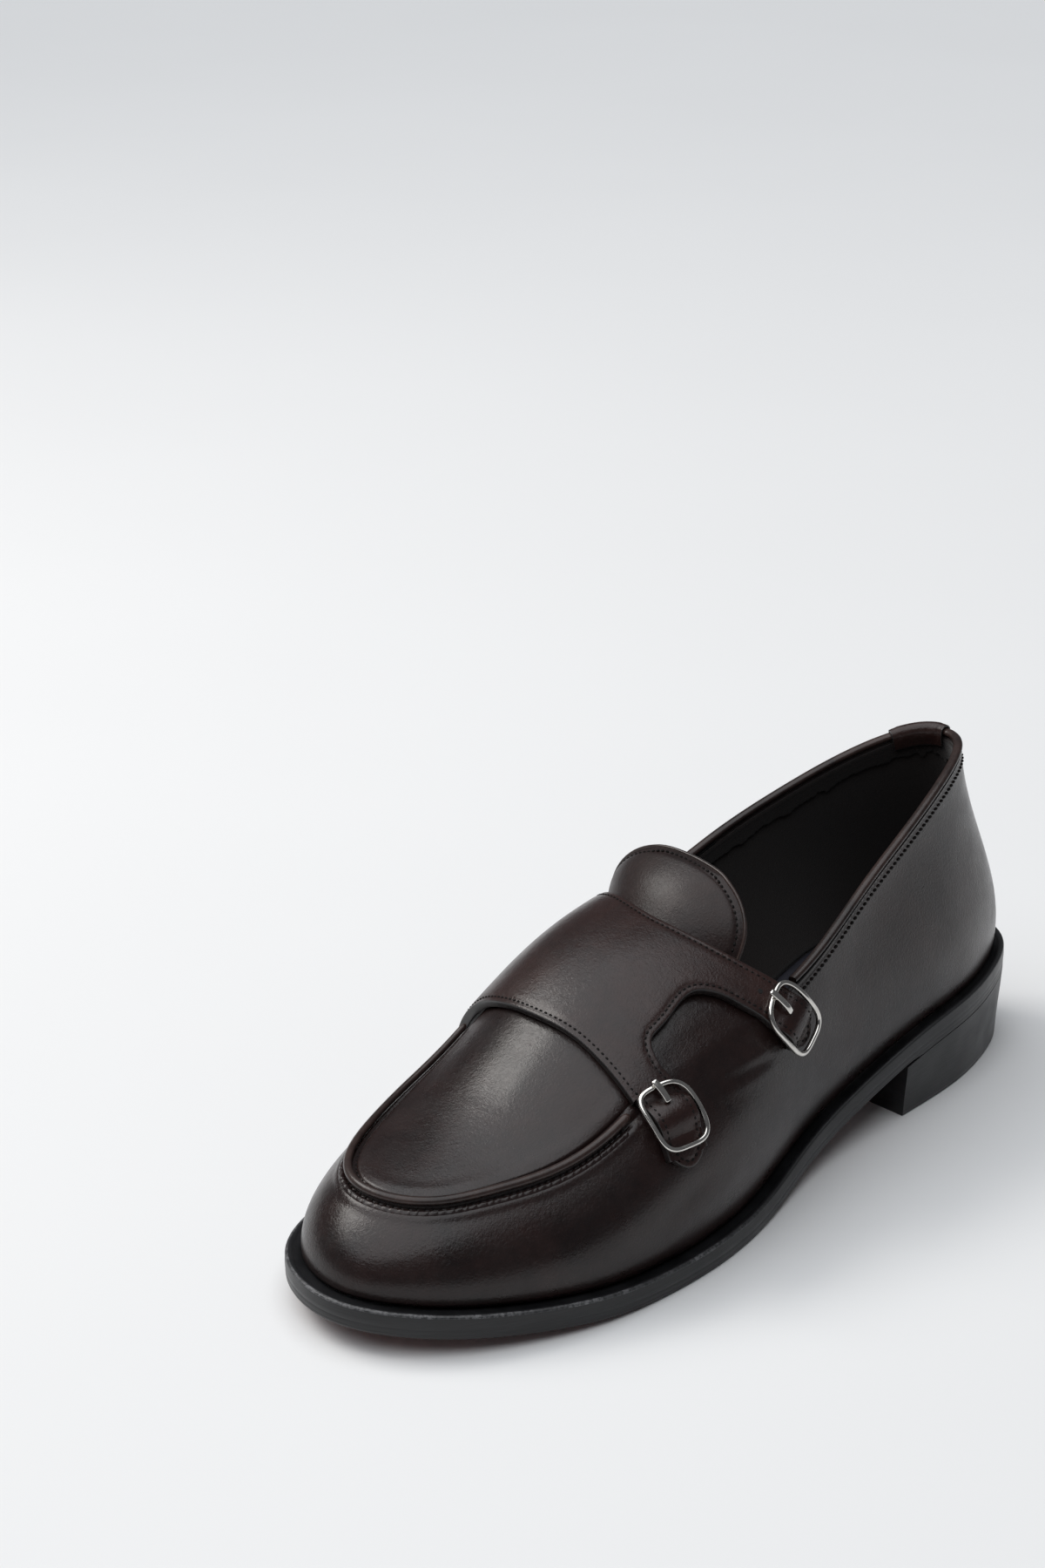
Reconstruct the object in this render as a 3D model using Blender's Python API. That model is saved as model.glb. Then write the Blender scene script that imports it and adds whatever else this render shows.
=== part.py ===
"""Slip-on loafer with an apron toe and a double-buckled instep strap, left shoe.

Frame: metres, +Z up, the toe towards -Y, the heel towards +Y, the outer (lateral) side towards +X.
The origin is on the floor, under the middle of the sole. The shoe stands on its heel and forefoot.

Every section is worked out by the angle around the shoe: 0 at the back of the heel, a quarter turn on
the lateral side, half a turn at the toe tip, and three quarters on the medial side.
"""
import math

import bpy
import numpy as np

# Driving sizes of the last and the sole
SHOE_LENGTH = 0.290
BALL_WIDTH = 0.095
HEEL_HEIGHT = 0.026
TOE_SPRING = 0.0075
SOLE_EDGE = 0.0076
COLLAR_HEIGHT = 0.110
CROWN_HEIGHT = 0.0155
SIDE_SHIFT = -0.0026

# Leather and clearances
WALL = 0.0020
GAP = 0.0003
WELT_FRONT = 0.0048
WELT_BACK = 0.0036
WELT_FROM = 0.1
WELT_TO = 0.5

# Heel block
HEEL_LENGTH = 0.0778
HEEL_INSET = 0.0014
HEEL_SIDE = {
    "down":  (0.0, 0.5, 0.96, 1.0),
    "inset": (0.0, 0.6, 1.0, 1.5),
}

# Insole
INSOLE_THICKNESS = 0.0022

# Mesh fineness
COLUMNS = 80
WALL_ROWS = 8
CROWN_COLUMNS = 10
THROAT_ROWS = 5
TONGUE_COLUMNS = 13
TONGUE_ROWS = 16
PIPING_STEPS = 44
BINDING_STEPS = 46
TAB_COLUMNS = 9
TAB_ROWS = 8
ROUND_SIDES = 8
CORNER_STEPS = 5
SMOOTH_ANGLE = math.radians(40)
SMALL = 1e-3
MM = 1e-3

# Smoothed instep under the strap: its reach along the shoe and to each side of the middle
ARCH_FROM = 0.24
ARCH_TO = 0.84
ARCH_ROWS = 61
ARCH_GIRTH = 0.078
ARCH_COLUMNS = 157
ARCH_SOFT = 0.006
ARCH_FOOT = 0.2
ARCH_STEPS = 32
ARCH_EVEN = 241

# Sole outline: half-widths of the two sides, as shares of the ball width
OUTLINE = {
    "along":   (0.03, 0.08, 0.15, 0.25, 0.35, 0.45, 0.55, 0.62, 0.70, 0.78, 0.86, 0.92, 0.97),
    "lateral": (0.187, 0.267, 0.327, 0.355, 0.368, 0.408, 0.490, 0.532, 0.543, 0.522, 0.444, 0.346, 0.208),
    "medial":  (0.198, 0.293, 0.335, 0.314, 0.278, 0.281, 0.339, 0.408, 0.454, 0.478, 0.459, 0.391, 0.272),
}
HEEL_SHIFT = 0.0
TOE_SHIFT = -0.022

# Underside of the sole: shares of the heel height and of the toe spring
UNDERSIDE = {
    "along": (0.0, 0.12, 0.23, 0.33, 0.43, 0.52, 0.57, 0.68, 0.74, 0.82, 0.90, 1.0),
    "heel":  (1.0, 0.88, 0.78, 0.54, 0.265, 0.045, 0.0, 0.0, 0.0, 0.0, 0.0, 0.0),
    "toe":   (0.0, 0.0, 0.0, 0.0, 0.0, 0.0, 0.0, 0.0, 0.07, 0.30, 0.60, 1.0),
}
FLAT_FROM = 0.57
FLAT_TO = 0.68

# Top line: the collar from the heel to the throat, then the apron seam to the toe.
# Half-widths are shares of the ball width, heights are shares of the collar height.
TOP_LINE = {
    "along":   (0.02, 0.06, 0.12, 0.20, 0.30, 0.40, 0.50, 0.60, 0.68, 0.75, 0.83, 0.90, 0.96),
    "lateral": (0.090, 0.150, 0.200, 0.243, 0.286, 0.333, 0.360, 0.350, 0.332, 0.331, 0.301, 0.236, 0.150),
    "medial":  (0.118, 0.196, 0.262, 0.322, 0.368, 0.389, 0.396, 0.389, 0.380, 0.384, 0.362, 0.311, 0.232),
    "lateral_height": (0.940, 0.922, 0.884, 0.820, 0.731, 0.638, 0.576, 0.538, 0.493, 0.425, 0.368,
                       0.348, 0.337),
    "medial_height":  (0.935, 0.906, 0.862, 0.800, 0.724, 0.652, 0.622, 0.586, 0.518, 0.430, 0.374,
                       0.351, 0.344),
}
TOP_BACK = 0.0705
TOP_TOE = 0.925
TOP_BACK_SHIFT = -0.012
TOP_TOE_SHIFT = -0.058
TOP_BACK_HEIGHT = 0.944
TOP_TOE_HEIGHT = 0.338

# Wall of the upper: the two handles of each column's curve, as shares of the column's height,
# outwards and upwards from the feather edge, outwards and downwards from the top line
WALL_CURVE = {
    "along":             (0.0, 0.15, 0.35, 0.50, 0.65, 0.80, 0.92, 1.0),
    "lateral_low_out":   (0.04, 0.08, 0.16, 0.14, 0.10, 0.08, 0.06, 0.06),
    "lateral_low_up":    (0.35, 0.35, 0.35, 0.38, 0.45, 0.48, 0.48, 0.46),
    "lateral_high_out":  (0.04, 0.03, 0.03, 0.14, 0.26, 0.28, 0.28, 0.28),
    "lateral_high_down": (0.38, 0.35, 0.33, 0.34, 0.26, 0.22, 0.20, 0.20),
    "medial_low_out":    (0.04, 0.09, 0.22, 0.24, 0.14, 0.08, 0.06, 0.06),
    "medial_low_up":     (0.35, 0.35, 0.32, 0.34, 0.42, 0.46, 0.48, 0.46),
    "medial_high_out":   (0.04, 0.03, 0.04, 0.14, 0.22, 0.22, 0.24, 0.28),
    "medial_high_down":  (0.38, 0.35, 0.35, 0.36, 0.28, 0.22, 0.20, 0.20),
}

# Crown across the apron and the instep, as shares of the crown height
CROWN = {
    "along":  (0.0, 0.45, 0.55, 0.68, 0.75, 0.83, 0.90, 1.0),
    "height": (0.88, 0.88, 0.88, 0.94, 0.87, 0.62, 0.46, 0.40),
    "lateral_power": (1.9, 1.9, 1.9, 1.9, 2.0, 2.0, 2.0, 2.0),
    "medial_power":  (3.8, 3.8, 3.6, 3.0, 2.5, 2.1, 2.0, 2.0),
}
APRON_HALF = 0.36
# Rear edge of the apron under the strap: share at its two ends, and how far its middle lies ahead
THROAT = 0.52
THROAT_ARC = 0.034

# Side of the sole, from its top edge down, as shares of its thickness
SOLE_SIDE = {
    "down":  (0.0, 0.09, 0.35, 0.56, 0.61, 0.66, 0.90, 1.0),
    "inset": (0.09, 0.0, -0.02, 0.0, 0.05, 0.0, 0.02, 0.11),
}
HEEL_COLUMNS = 16

# Strap across the instep: edges as places on the instep, share along the shoe and girth in mm
# from its middle, lateral positive
STRAP_LIFT = 0.0016
STRAP_THICKNESS = 0.0022
STRAP_REAR = {
    "share": (0.450, 0.470, 0.501, 0.522, 0.531, 0.537, 0.539, 0.534, 0.522, 0.503, 0.4894),
    "girth": (-49.0, -41.7, -32.4, -22.0, -15.5, -8.6, -1.0, 8.0, 17.0, 27.2, 33.2),
}
STRAP_FRONT = {
    "share": (0.700, 0.708, 0.712, 0.718, 0.722, 0.7235, 0.723, 0.722, 0.722, 0.722, 0.7224),
    "girth": (-50.7, -40.0, -30.6, -22.0, -13.3, -5.6, 4.4, 12.3, 20.4, 28.0, 36.4),
}
STRAP_END = {
    "share": (0.450, 0.462, 0.485, 0.514, 0.541, 0.569, 0.594, 0.619, 0.643, 0.678, 0.700),
    "girth": (-49.0, -53.5, -56.2, -57.4, -58.3, -58.5, -58.0, -57.0, -55.6, -52.4, -50.7),
}
STRAP_WINDOW = {
    "share": (0.5316, 0.543, 0.555, 0.568, 0.580, 0.598, 0.625, 0.650, 0.661, 0.668, 0.672, 0.6744),
    "girth": (39.4, 35.0, 30.0, 26.5, 24.6, 24.1, 25.6, 26.5, 27.0, 28.6, 31.2, 34.5),
}
STRAP_ROWS = 15
ROOT_STEPS = 4
WINDOW_STEPS = 16

# Buckles and the two tails of the strap: place, tilt towards the heel, and the tail's reach
BUCKLES = {
    "name":  ("rear", "front"),
    "share": (0.487, 0.689),
    "girth": (0.0467, 0.0473),
    "tilt":  (30.0, 9.0),
    "reach": (0.0092, 0.0142),
}
TAIL_WIDTH = 0.0124
TAIL_ROOT = 0.0120
TAIL_JOIN = 0.0030
TAIL_TAPER = 0.0040
TAIL_NARROW = 0.22
TAIL_POINT = 0.0034
DOME_HEIGHT = 0.0025
DOME_LENGTH = 0.0052
BUCKLE_LENGTH = 0.0192
BUCKLE_WIDTH = 0.0172
BUCKLE_CORNER = 0.0050
WIRE = 0.0018
BAR = 0.0015
BAR_DIP = 0.0021
BAR_SHAPE = {
    "across": (-1.0, -0.975, -0.88, -0.6, 0.0, 0.6, 0.88, 0.975, 1.0),
    "dip":    (0.0, 0.45, 0.9, 1.0, 1.0, 1.0, 0.9, 0.45, 0.0),
}
PRONG_LENGTH = 0.0068
PRONG_WIDTH = 0.0020
PRONG_HEIGHT = 0.0012
PRONG_OVERHANG = 0.0007
PRONG_SHAPE = {
    "along": (1.0, 0.7, 0.4, 0.12, 0.0),
    "rise":  (0.0, 0.55, 0.9, 1.0, 0.97),
}

# Beads and trims
PIPING_WIDTH = 0.0026
PIPING_HEIGHT = 0.0016
PIPING_ENDS = (0.732, 0.722)
BEAD = {
    "across": (1.0, 0.78, 0.3, -0.3, -0.78, -1.0),
    "up":     (0.0, 0.66, 1.0, 1.0, 0.66, 0.0),
}
BINDING_WIDTH = 0.0030
BINDING_HEIGHT = 0.0022
BINDING_ENDS = (0.452, 0.452)
RIM_BELOW = 0.93
RIM_GAP = 1.5 * GAP
SEAM_NEAR = 0.02
SEAM_GAP = 2 * GAP
TAB_WIDTH = 0.018
TAB_DROP = 0.028
TAB_THICKNESS = 0.0010
TAB_MIDDLE = -0.20
TAB_SETTLE = 0.008
TAB_FOLD = {
    "out":  (-1.0, -1.0, -1.0, -0.8, -0.4, 0.0, 0.4, 0.8, 1.0),
    "rise": (-2.6, -1.0, 0.35, 0.75, 0.97, 1.04, 0.97, 0.75, 0.35),
}

# Tongue: places as for the strap, in mm, and its rise over the instep
TONGUE_THICKNESS = 0.0022
TONGUE_HALF = 30.0
TONGUE_MIDDLE = -4.0
TONGUE_LEAN = -9.0
TONGUE_ROOT = 0.585
TONGUE_TOP = 0.448
TONGUE_ROUND = 0.29
TONGUE_SQUARE = 2.6
TONGUE_BEND = 0.53
TONGUE_RISE = {
    "behind": (-0.060, -0.019, -0.001, 0.024, 0.048, 0.080),
    "lift":   (-5.3, -5.3, -2.8, 2.4, 6.4, 9.6),
}

# Colours
SOLE_BLACK = (0.012, 0.011, 0.012)
HEEL_BLACK = (0.010, 0.010, 0.011)
SOCK_BLUE = (0.020, 0.020, 0.035)
DARK_BROWN = (0.020, 0.012, 0.011)
STRAP_BROWN = (0.034, 0.014, 0.011)
PIPING_BROWN = (0.090, 0.050, 0.035)
BINDING_BROWN = (0.075, 0.045, 0.032)
STEEL = (0.62, 0.60, 0.56)


def closed_spline(knots, values, at):
    """Cubic spline through values at knots, closed over a full turn."""
    knots = np.asarray(knots, float)
    values = np.asarray(values, float)
    count = len(knots)
    steps = np.diff(np.append(knots, knots[0] + 2 * math.pi))
    matrix = np.zeros((count, count))
    right = np.zeros(count)
    for i in range(count):
        before = (i - 1) % count
        after = (i + 1) % count
        matrix[i, before] += steps[before]
        matrix[i, i] += 2 * (steps[before] + steps[i])
        matrix[i, after] += steps[i]
        slope_after = (values[after] - values[i]) / steps[i]
        slope_before = (values[i] - values[before]) / steps[before]
        right[i] = 6 * (slope_after - slope_before)
    bends = np.linalg.solve(matrix, right)
    at = np.mod(np.asarray(at, float) - knots[0], 2 * math.pi) + knots[0]
    i = np.clip(np.searchsorted(knots, at, side="right") - 1, 0, count - 1)
    after = (i + 1) % count
    return spline_piece(at - knots[i], steps[i], values[i], values[after], bends[i], bends[after])


def open_spline(knots, values, at):
    """Natural cubic spline through values at knots, held level past its ends."""
    knots = np.asarray(knots, float)
    values = np.asarray(values, float)
    count = len(knots)
    steps = np.diff(knots)
    matrix = np.eye(count)
    right = np.zeros(count)
    for i in range(1, count - 1):
        matrix[i, i - 1:i + 2] = (steps[i - 1], 2 * (steps[i - 1] + steps[i]), steps[i])
        slope_after = (values[i + 1] - values[i]) / steps[i]
        slope_before = (values[i] - values[i - 1]) / steps[i - 1]
        right[i] = 6 * (slope_after - slope_before)
    bends = np.linalg.solve(matrix, right)
    at = np.clip(np.asarray(at, float), knots[0], knots[-1])
    i = np.clip(np.searchsorted(knots, at, side="right") - 1, 0, count - 2)
    return spline_piece(at - knots[i], steps[i], values[i], values[i + 1], bends[i], bends[i + 1])


def spline_piece(inside, step, first, second, bend_first, bend_second):
    """One cubic piece of a spline, at the distance inside it."""
    rest = step - inside
    cubic = (bend_first * rest ** 3 + bend_second * inside ** 3) / (6 * step)
    line_first = (first / step - bend_first * step / 6) * rest
    line_second = (second / step - bend_second * step / 6) * inside
    return cubic + line_first + line_second


def around(table, lateral, medial, back, toe, angle):
    """A value around the shoe from a table of the two sides and its two end values."""
    turn = np.arccos(1 - 2 * np.asarray(table["along"]))
    knots = np.concatenate(([0.0], turn, [math.pi], 2 * math.pi - turn[::-1]))
    values = np.concatenate(([back], lateral, [toe], np.asarray(medial)[::-1]))
    return closed_spline(knots, values, angle)


def side_value(table, name, angle):
    """A column of a two-sided table whose rows run from the heel to the toe."""
    along = share_along(angle)
    lateral = np.interp(along, table["along"], table["lateral_" + name])
    medial = np.interp(along, table["along"], table["medial_" + name])
    blend = 0.5 - 0.5 * np.sin(angle)
    return lateral * (1 - blend) + medial * blend


def share_along(angle):
    """Share of the length, from the heel to the toe, at an angle around the shoe."""
    return (1 - np.cos(angle)) / 2


def outline_point(angle, inset):
    """Plan position on the sole's edge, moved inwards by the inset."""
    lateral = np.asarray(OUTLINE["lateral"])
    medial = -np.asarray(OUTLINE["medial"])

    def edge(turn):
        share = around(OUTLINE, lateral, medial, HEEL_SHIFT, TOE_SHIFT, turn)
        return np.stack((share * BALL_WIDTH + SIDE_SHIFT, np.cos(turn) * SHOE_LENGTH / 2), -1)

    tangent = edge(angle + SMALL) - edge(angle - SMALL)
    outward = np.stack((-tangent[..., 1], tangent[..., 0]), -1)
    outward /= np.linalg.norm(outward, axis=-1)[..., None]
    return edge(angle) - outward * np.asarray(inset)[..., None], outward


def underside(along):
    """Height of the sole's underside."""
    heel = open_spline(UNDERSIDE["along"], UNDERSIDE["heel"], along)
    toe = open_spline(UNDERSIDE["along"], UNDERSIDE["toe"], along)
    height = heel * HEEL_HEIGHT + toe * TOE_SPRING
    flat = (np.asarray(along) >= FLAT_FROM) & (np.asarray(along) <= FLAT_TO)
    return np.where(flat, 0.0, np.maximum(height, 0.0))


def share_at(y):
    """Share of the length at a place along the shoe."""
    return np.clip(0.5 - y / SHOE_LENGTH, 0.0, 1.0)


def sole_top(y):
    """Height of the sole's upper face."""
    return underside(share_at(y)) + SOLE_EDGE


def feather(angle):
    """Foot of the upper's outer face, on the sole."""
    welt = WELT_BACK + (WELT_FRONT - WELT_BACK) * smooth(share_along(angle), WELT_FROM, WELT_TO)
    plan, outward = outline_point(angle, welt)
    height = sole_top(plan[..., 1]) + GAP
    return np.concatenate((plan, height[..., None]), -1), outward


def smooth(value, low, high):
    """Soft step that is 0 at the low value and 1 at the high one."""
    t = np.clip((value - low) / (high - low), 0.0, 1.0)
    return t * t * (3 - 2 * t)


def top_line(angle):
    """Collar and apron seam, around the shoe."""
    lateral = np.asarray(TOP_LINE["lateral"])
    medial = -np.asarray(TOP_LINE["medial"])
    x = around(TOP_LINE, lateral, medial, TOP_BACK_SHIFT, TOP_TOE_SHIFT, angle) * BALL_WIDTH + SIDE_SHIFT
    z = around(TOP_LINE, TOP_LINE["lateral_height"], TOP_LINE["medial_height"],
               TOP_BACK_HEIGHT, TOP_TOE_HEIGHT, angle) * COLLAR_HEIGHT
    along = TOP_BACK + (TOP_TOE - TOP_BACK) * share_along(angle)
    y = SHOE_LENGTH * (0.5 - along)
    return np.stack((x, y, z), -1)


def wall_point(angle, t):
    """Outer face of the wall: t is 0 at the feather edge and 1 at the top line."""
    foot, outward = feather(angle)
    top = top_line(angle)
    rise = (top - foot)[..., 2:3]
    out = np.concatenate((outward, np.zeros(outward.shape[:-1] + (1,))), -1)
    up = np.array((0.0, 0.0, 1.0))

    def handle(name):
        return side_value(WALL_CURVE, name, angle)[..., None] * rise

    low = foot + out * handle("low_out") + up * handle("low_up")
    high = top + out * handle("high_out") - up * handle("high_down")
    t = np.asarray(t)[..., None]
    s = 1 - t
    return s ** 3 * foot + 3 * s * s * t * low + 3 * s * t * t * high + t ** 3 * top


def crown_point(angle, across):
    """Outer face over the apron and instep: across runs from the lateral to the medial top line."""
    lateral = top_line(angle)
    medial = top_line(2 * math.pi - angle)
    across = np.asarray(across)[..., None]
    height = open_spline(CROWN["along"], CROWN["height"], share_along(angle)) * CROWN_HEIGHT
    widest = BALL_WIDTH * APRON_HALF
    half = np.linalg.norm((lateral - medial)[..., :2], axis=-1) / 2
    rise = (height * (half / widest) ** 2)[..., None]
    point = lateral * (1 - across) + medial * across
    side = 2 * across - 1
    lateral_power = np.interp(share_along(angle), CROWN["along"], CROWN["lateral_power"])[..., None]
    medial_power = np.interp(share_along(angle), CROWN["along"], CROWN["medial_power"])[..., None]
    power = np.where(side < 0, lateral_power, medial_power)
    return point + np.array((0.0, 0.0, 1.0)) * rise * (1 - np.abs(side) ** power)


def arch_table():
    """Smoothed cross-sections over the instep, the surface that the strap lies on.

    Rows run along the shoe, columns around it, from the lateral wall over the top to the medial wall.
    """
    shares = np.linspace(ARCH_FROM, ARCH_TO, ARCH_ROWS)
    girths = np.linspace(-ARCH_GIRTH, ARCH_GIRTH, ARCH_COLUMNS)
    rows = []
    for share in shares:
        angle = math.acos(1 - 2 * share)
        rise = np.linspace(ARCH_FOOT, 1.0, ARCH_STEPS + 1)
        turn = np.full(ARCH_STEPS + 1, angle)
        lateral = wall_point(turn, rise)
        medial = wall_point(2 * math.pi - turn, rise)[::-1]
        crown = crown_point(turn, np.linspace(0.0, 1.0, ARCH_STEPS + 1))
        line = np.concatenate((lateral[:-1], crown, medial[1:]))
        steps = np.linalg.norm(np.diff(line, axis=0), axis=1)
        length = np.concatenate(([0.0], np.cumsum(steps)))
        length -= length[ARCH_STEPS * 3 // 2]
        at = np.linspace(length[0], length[-1], ARCH_EVEN)
        even = np.stack([np.interp(at, length, line[:, k]) for k in range(3)], -1)
        soft = soften(even, at[1] - at[0])
        rows.append(np.stack([np.interp(-girths, at, soft[:, k]) for k in range(3)], -1))
    return shares, girths, np.array(rows)


def soften(line, step):
    """Rounds a cross-section's corners with a sliding average."""
    reach = int(round(ARCH_SOFT / step))
    weights = 0.5 + 0.5 * np.cos(np.linspace(-math.pi, math.pi, 2 * reach + 1))
    weights /= weights.sum()
    start = 2 * line[0] - line[reach:0:-1]
    end = 2 * line[-1] - line[-2:-reach - 2:-1]
    long = np.concatenate((start, line, end))
    return np.stack([np.convolve(long[:, k], weights, "valid") for k in range(3)], -1)


ARCH = arch_table()


def instep(share, girth):
    """Point and outward direction on the instep: girth is measured from its middle, lateral positive."""
    shares, girths, rows = ARCH
    row = (np.asarray(share) - shares[0]) / (shares[1] - shares[0])
    column = (np.asarray(girth) - girths[0]) / (girths[1] - girths[0])
    row = np.clip(row, 1.0, len(shares) - 2.001)
    column = np.clip(column, 1.0, len(girths) - 2.001)
    point = table_value(rows, row, column)
    ahead = table_value(rows, row + 0.5, column) - table_value(rows, row - 0.5, column)
    side = table_value(rows, row, column + 0.5) - table_value(rows, row, column - 0.5)
    outward = np.cross(ahead, side)
    return point, outward / np.linalg.norm(outward, axis=-1)[..., None]


def table_value(rows, row, column):
    """Value between the four nearest entries of a table."""
    i = np.floor(row).astype(int)
    j = np.floor(column).astype(int)
    u = (row - i)[..., None]
    v = (column - j)[..., None]
    near = rows[i, j] * (1 - v) + rows[i, j + 1] * v
    far = rows[i + 1, j] * (1 - v) + rows[i + 1, j + 1] * v
    return near * (1 - u) + far * u


def new_object(name, points, faces, colour, roughness, metallic=0.0):
    """A closed or open mesh object with its own material."""
    mesh = bpy.data.meshes.new(name)
    mesh.from_pydata([tuple(p) for p in points], [], faces)
    mesh.update()
    piece = bpy.data.objects.new(name, mesh)
    bpy.context.scene.collection.objects.link(piece)
    material = bpy.data.materials.new(name)
    material.use_nodes = True
    shader = material.node_tree.nodes["Principled BSDF"]
    shader.inputs["Base Color"].default_value = colour + (1.0,)
    shader.inputs["Roughness"].default_value = roughness
    shader.inputs["Metallic"].default_value = metallic
    mesh.materials.append(material)
    mesh.shade_smooth()
    mesh.set_sharp_from_angle(angle=SMOOTH_ANGLE)
    return piece


def thicken(piece, thickness, side):
    """Leather thickness: side is -1 inwards and 1 outwards."""
    solid = piece.modifiers.new("leather", "SOLIDIFY")
    solid.thickness = thickness
    solid.offset = side
    solid.use_even_offset = True
    return piece


def layered_plan(name, angles, layers, colour, roughness):
    """A closed piece of plan layers, from the top down: each is a list of points around the shoe."""
    count = len(angles)
    points = [point for layer in layers for point in layer]
    faces = []
    for k in range(len(layers) - 1):
        for i in range(count):
            j = (i + 1) % count
            upper, lower = k * count, (k + 1) * count
            faces.append((upper + i, upper + j, lower + j, lower + i))
    for start, flip in ((0, True), ((len(layers) - 1) * count, False)):
        faces += ladder(start, count, flip)
    return new_object(name, points, faces, colour, roughness)


def ladder(start, count, flip):
    """Cap faces that join each lateral point to the medial point across from it."""
    faces = []
    half = count // 2
    for i in range(half):
        a, b = i, i + 1
        c, d = (count - i - 1) % count, (count - i) % count
        ring = [a, b, c, d] if b != c else [a, b, d]
        if a == d:
            ring = [a, b, c]
        ring = [start + k for k in ring]
        faces.append(tuple(ring[::-1] if flip else ring))
    return faces


def around_angles():
    """Even steps around the shoe."""
    return np.arange(COLUMNS) * 2 * math.pi / COLUMNS


def plan_layer(angles, inset, height):
    """Points of one plan layer: height is a function of the place along the shoe."""
    plan, _ = outline_point(angles, np.full(len(angles), inset))
    return np.concatenate((plan, height(plan[:, 1])[:, None]), -1)


def make_outsole():
    """Leather sole with a rounded edge and a groove between its two layers."""
    angles = around_angles()
    layers = []
    for down, inset in zip(SOLE_SIDE["down"], SOLE_SIDE["inset"]):
        drop = down * SOLE_EDGE
        layers.append(plan_layer(angles, inset * SOLE_EDGE, lambda y: sole_top(y) - drop))
    return layered_plan("outsole", angles, layers, SOLE_BLACK, 0.45)


def make_heel():
    """Stacked heel block, flush with the sole's side, with an upright breast."""
    breast_angle = math.acos(1 - 2 * HEEL_LENGTH / SHOE_LENGTH)
    breast = SHOE_LENGTH / 2 - HEEL_LENGTH
    side = np.linspace(0.0, breast_angle, HEEL_COLUMNS)
    angles = np.concatenate((side, 2 * math.pi - side[:0:-1]))
    layers = []
    for down, inset in zip(HEEL_SIDE["down"], HEEL_SIDE["inset"]):
        layer = plan_layer(angles, inset * HEEL_INSET,
                           lambda y: (underside(share_at(y)) - GAP) * (1 - down))
        layer[HEEL_COLUMNS - 1:HEEL_COLUMNS + 1, 1] = breast
        layers.append(layer)
    return layered_plan("heel", angles, layers, HEEL_BLACK, 0.4)


def make_insole():
    """Sock on the sole, inside the foot of the upper."""
    angles = around_angles()
    welt = WELT_FRONT + WALL + 2 * GAP
    layers = []
    for rise in (INSOLE_THICKNESS, 0.0):
        layers.append(plan_layer(angles, welt, lambda y: sole_top(y) + GAP + rise))
    return layered_plan("insole", angles, layers, SOCK_BLUE, 0.8)


def make_upper():
    """Hollow upper: the wall around the shoe and the apron between its seams, open at the collar."""
    angles = around_angles()
    points = []
    for row in range(WALL_ROWS + 1):
        points += list(wall_point(angles, np.full(COLUMNS, row / WALL_ROWS)))
    faces = []
    for row in range(WALL_ROWS):
        for i in range(COLUMNS):
            j = (i + 1) % COLUMNS
            low, high = row * COLUMNS, (row + 1) * COLUMNS
            faces.append((low + i, high + i, high + j, low + j))
    top = WALL_ROWS * COLUMNS
    toe = COLUMNS // 2
    rows = []
    first = throat_column()
    for i in range(first, toe):
        row = [top + i]
        ahead = THROAT_ARC * max(0.0, 1 - (i - first) / THROAT_ROWS)
        for k in range(1, CROWN_COLUMNS):
            across = k / CROWN_COLUMNS
            row.append(len(points))
            share = share_along(angles[i]) + ahead * 4 * across * (1 - across)
            points.append(crown_point(math.acos(1 - 2 * share), across))
        row.append(top + COLUMNS - i)
        rows.append(row)
    for near, far in zip(rows, rows[1:]):
        for k in range(CROWN_COLUMNS):
            faces.append((near[k], near[k + 1], far[k + 1], far[k]))
    for k in range(CROWN_COLUMNS):
        faces.append((rows[-1][k], rows[-1][k + 1], top + toe))
    piece = new_object("upper", points, faces, DARK_BROWN, 0.35)
    return thicken(piece, WALL, -1)


def throat_column():
    """Column of the apron's rear edge, under the strap."""
    return int(round(math.acos(1 - 2 * THROAT) / (2 * math.pi) * COLUMNS))


def sheet(name, rows, thickness, colour, roughness):
    """A leather sheet from rows of points, thickened outwards."""
    count = len(rows[0])
    points = [point for row in rows for point in row]
    faces = []
    for r in range(len(rows) - 1):
        for k in range(count - 1):
            a = r * count + k
            faces.append((a, a + 1, a + count + 1, a + count))
    return thicken(new_object(name, points, faces, colour, roughness), thickness, 1)


def sweep(name, path, ups, section, closed, colour, roughness, metallic=0.0):
    """A bar along a path: the section is a ring of (across, up) places."""
    path = np.asarray(path)
    ahead = np.roll(path, -1, 0) - np.roll(path, 1, 0)
    if not closed:
        ahead[0] = path[1] - path[0]
        ahead[-1] = path[-1] - path[-2]
    ahead /= np.linalg.norm(ahead, axis=1)[:, None]
    across = np.cross(ahead, ups)
    across /= np.linalg.norm(across, axis=1)[:, None]
    up = np.cross(across, ahead)
    ring = len(section)
    points = []
    for point, a, u in zip(path, across, up):
        points += [point + a * x + u * z for x, z in section]
    faces = []
    count = len(path)
    for i in range(count if closed else count - 1):
        j = (i + 1) % count
        for k in range(ring):
            m = (k + 1) % ring
            faces.append((i * ring + k, j * ring + k, j * ring + m, i * ring + m))
    if not closed:
        faces.append(tuple(range(ring)))
        faces.append(tuple(range((count - 1) * ring, count * ring))[::-1])
    return new_object(name, points, faces, colour, roughness, metallic)


def oval(width, height, sides):
    """Ring of an oval section, centred."""
    turns = [2 * math.pi * k / sides for k in range(sides)]
    return [(math.cos(t) * width / 2, math.sin(t) * height / 2) for t in turns]


def bead(width, height):
    """Half-round section that stands on its flat side."""
    return [(x * width / 2, z * height) for x, z in zip(BEAD["across"], BEAD["up"])]


def on_instep(share, girth, lift):
    """Place above the instep."""
    point, outward = instep(share, girth)
    return point + outward * np.asarray(lift)[..., None]


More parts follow.
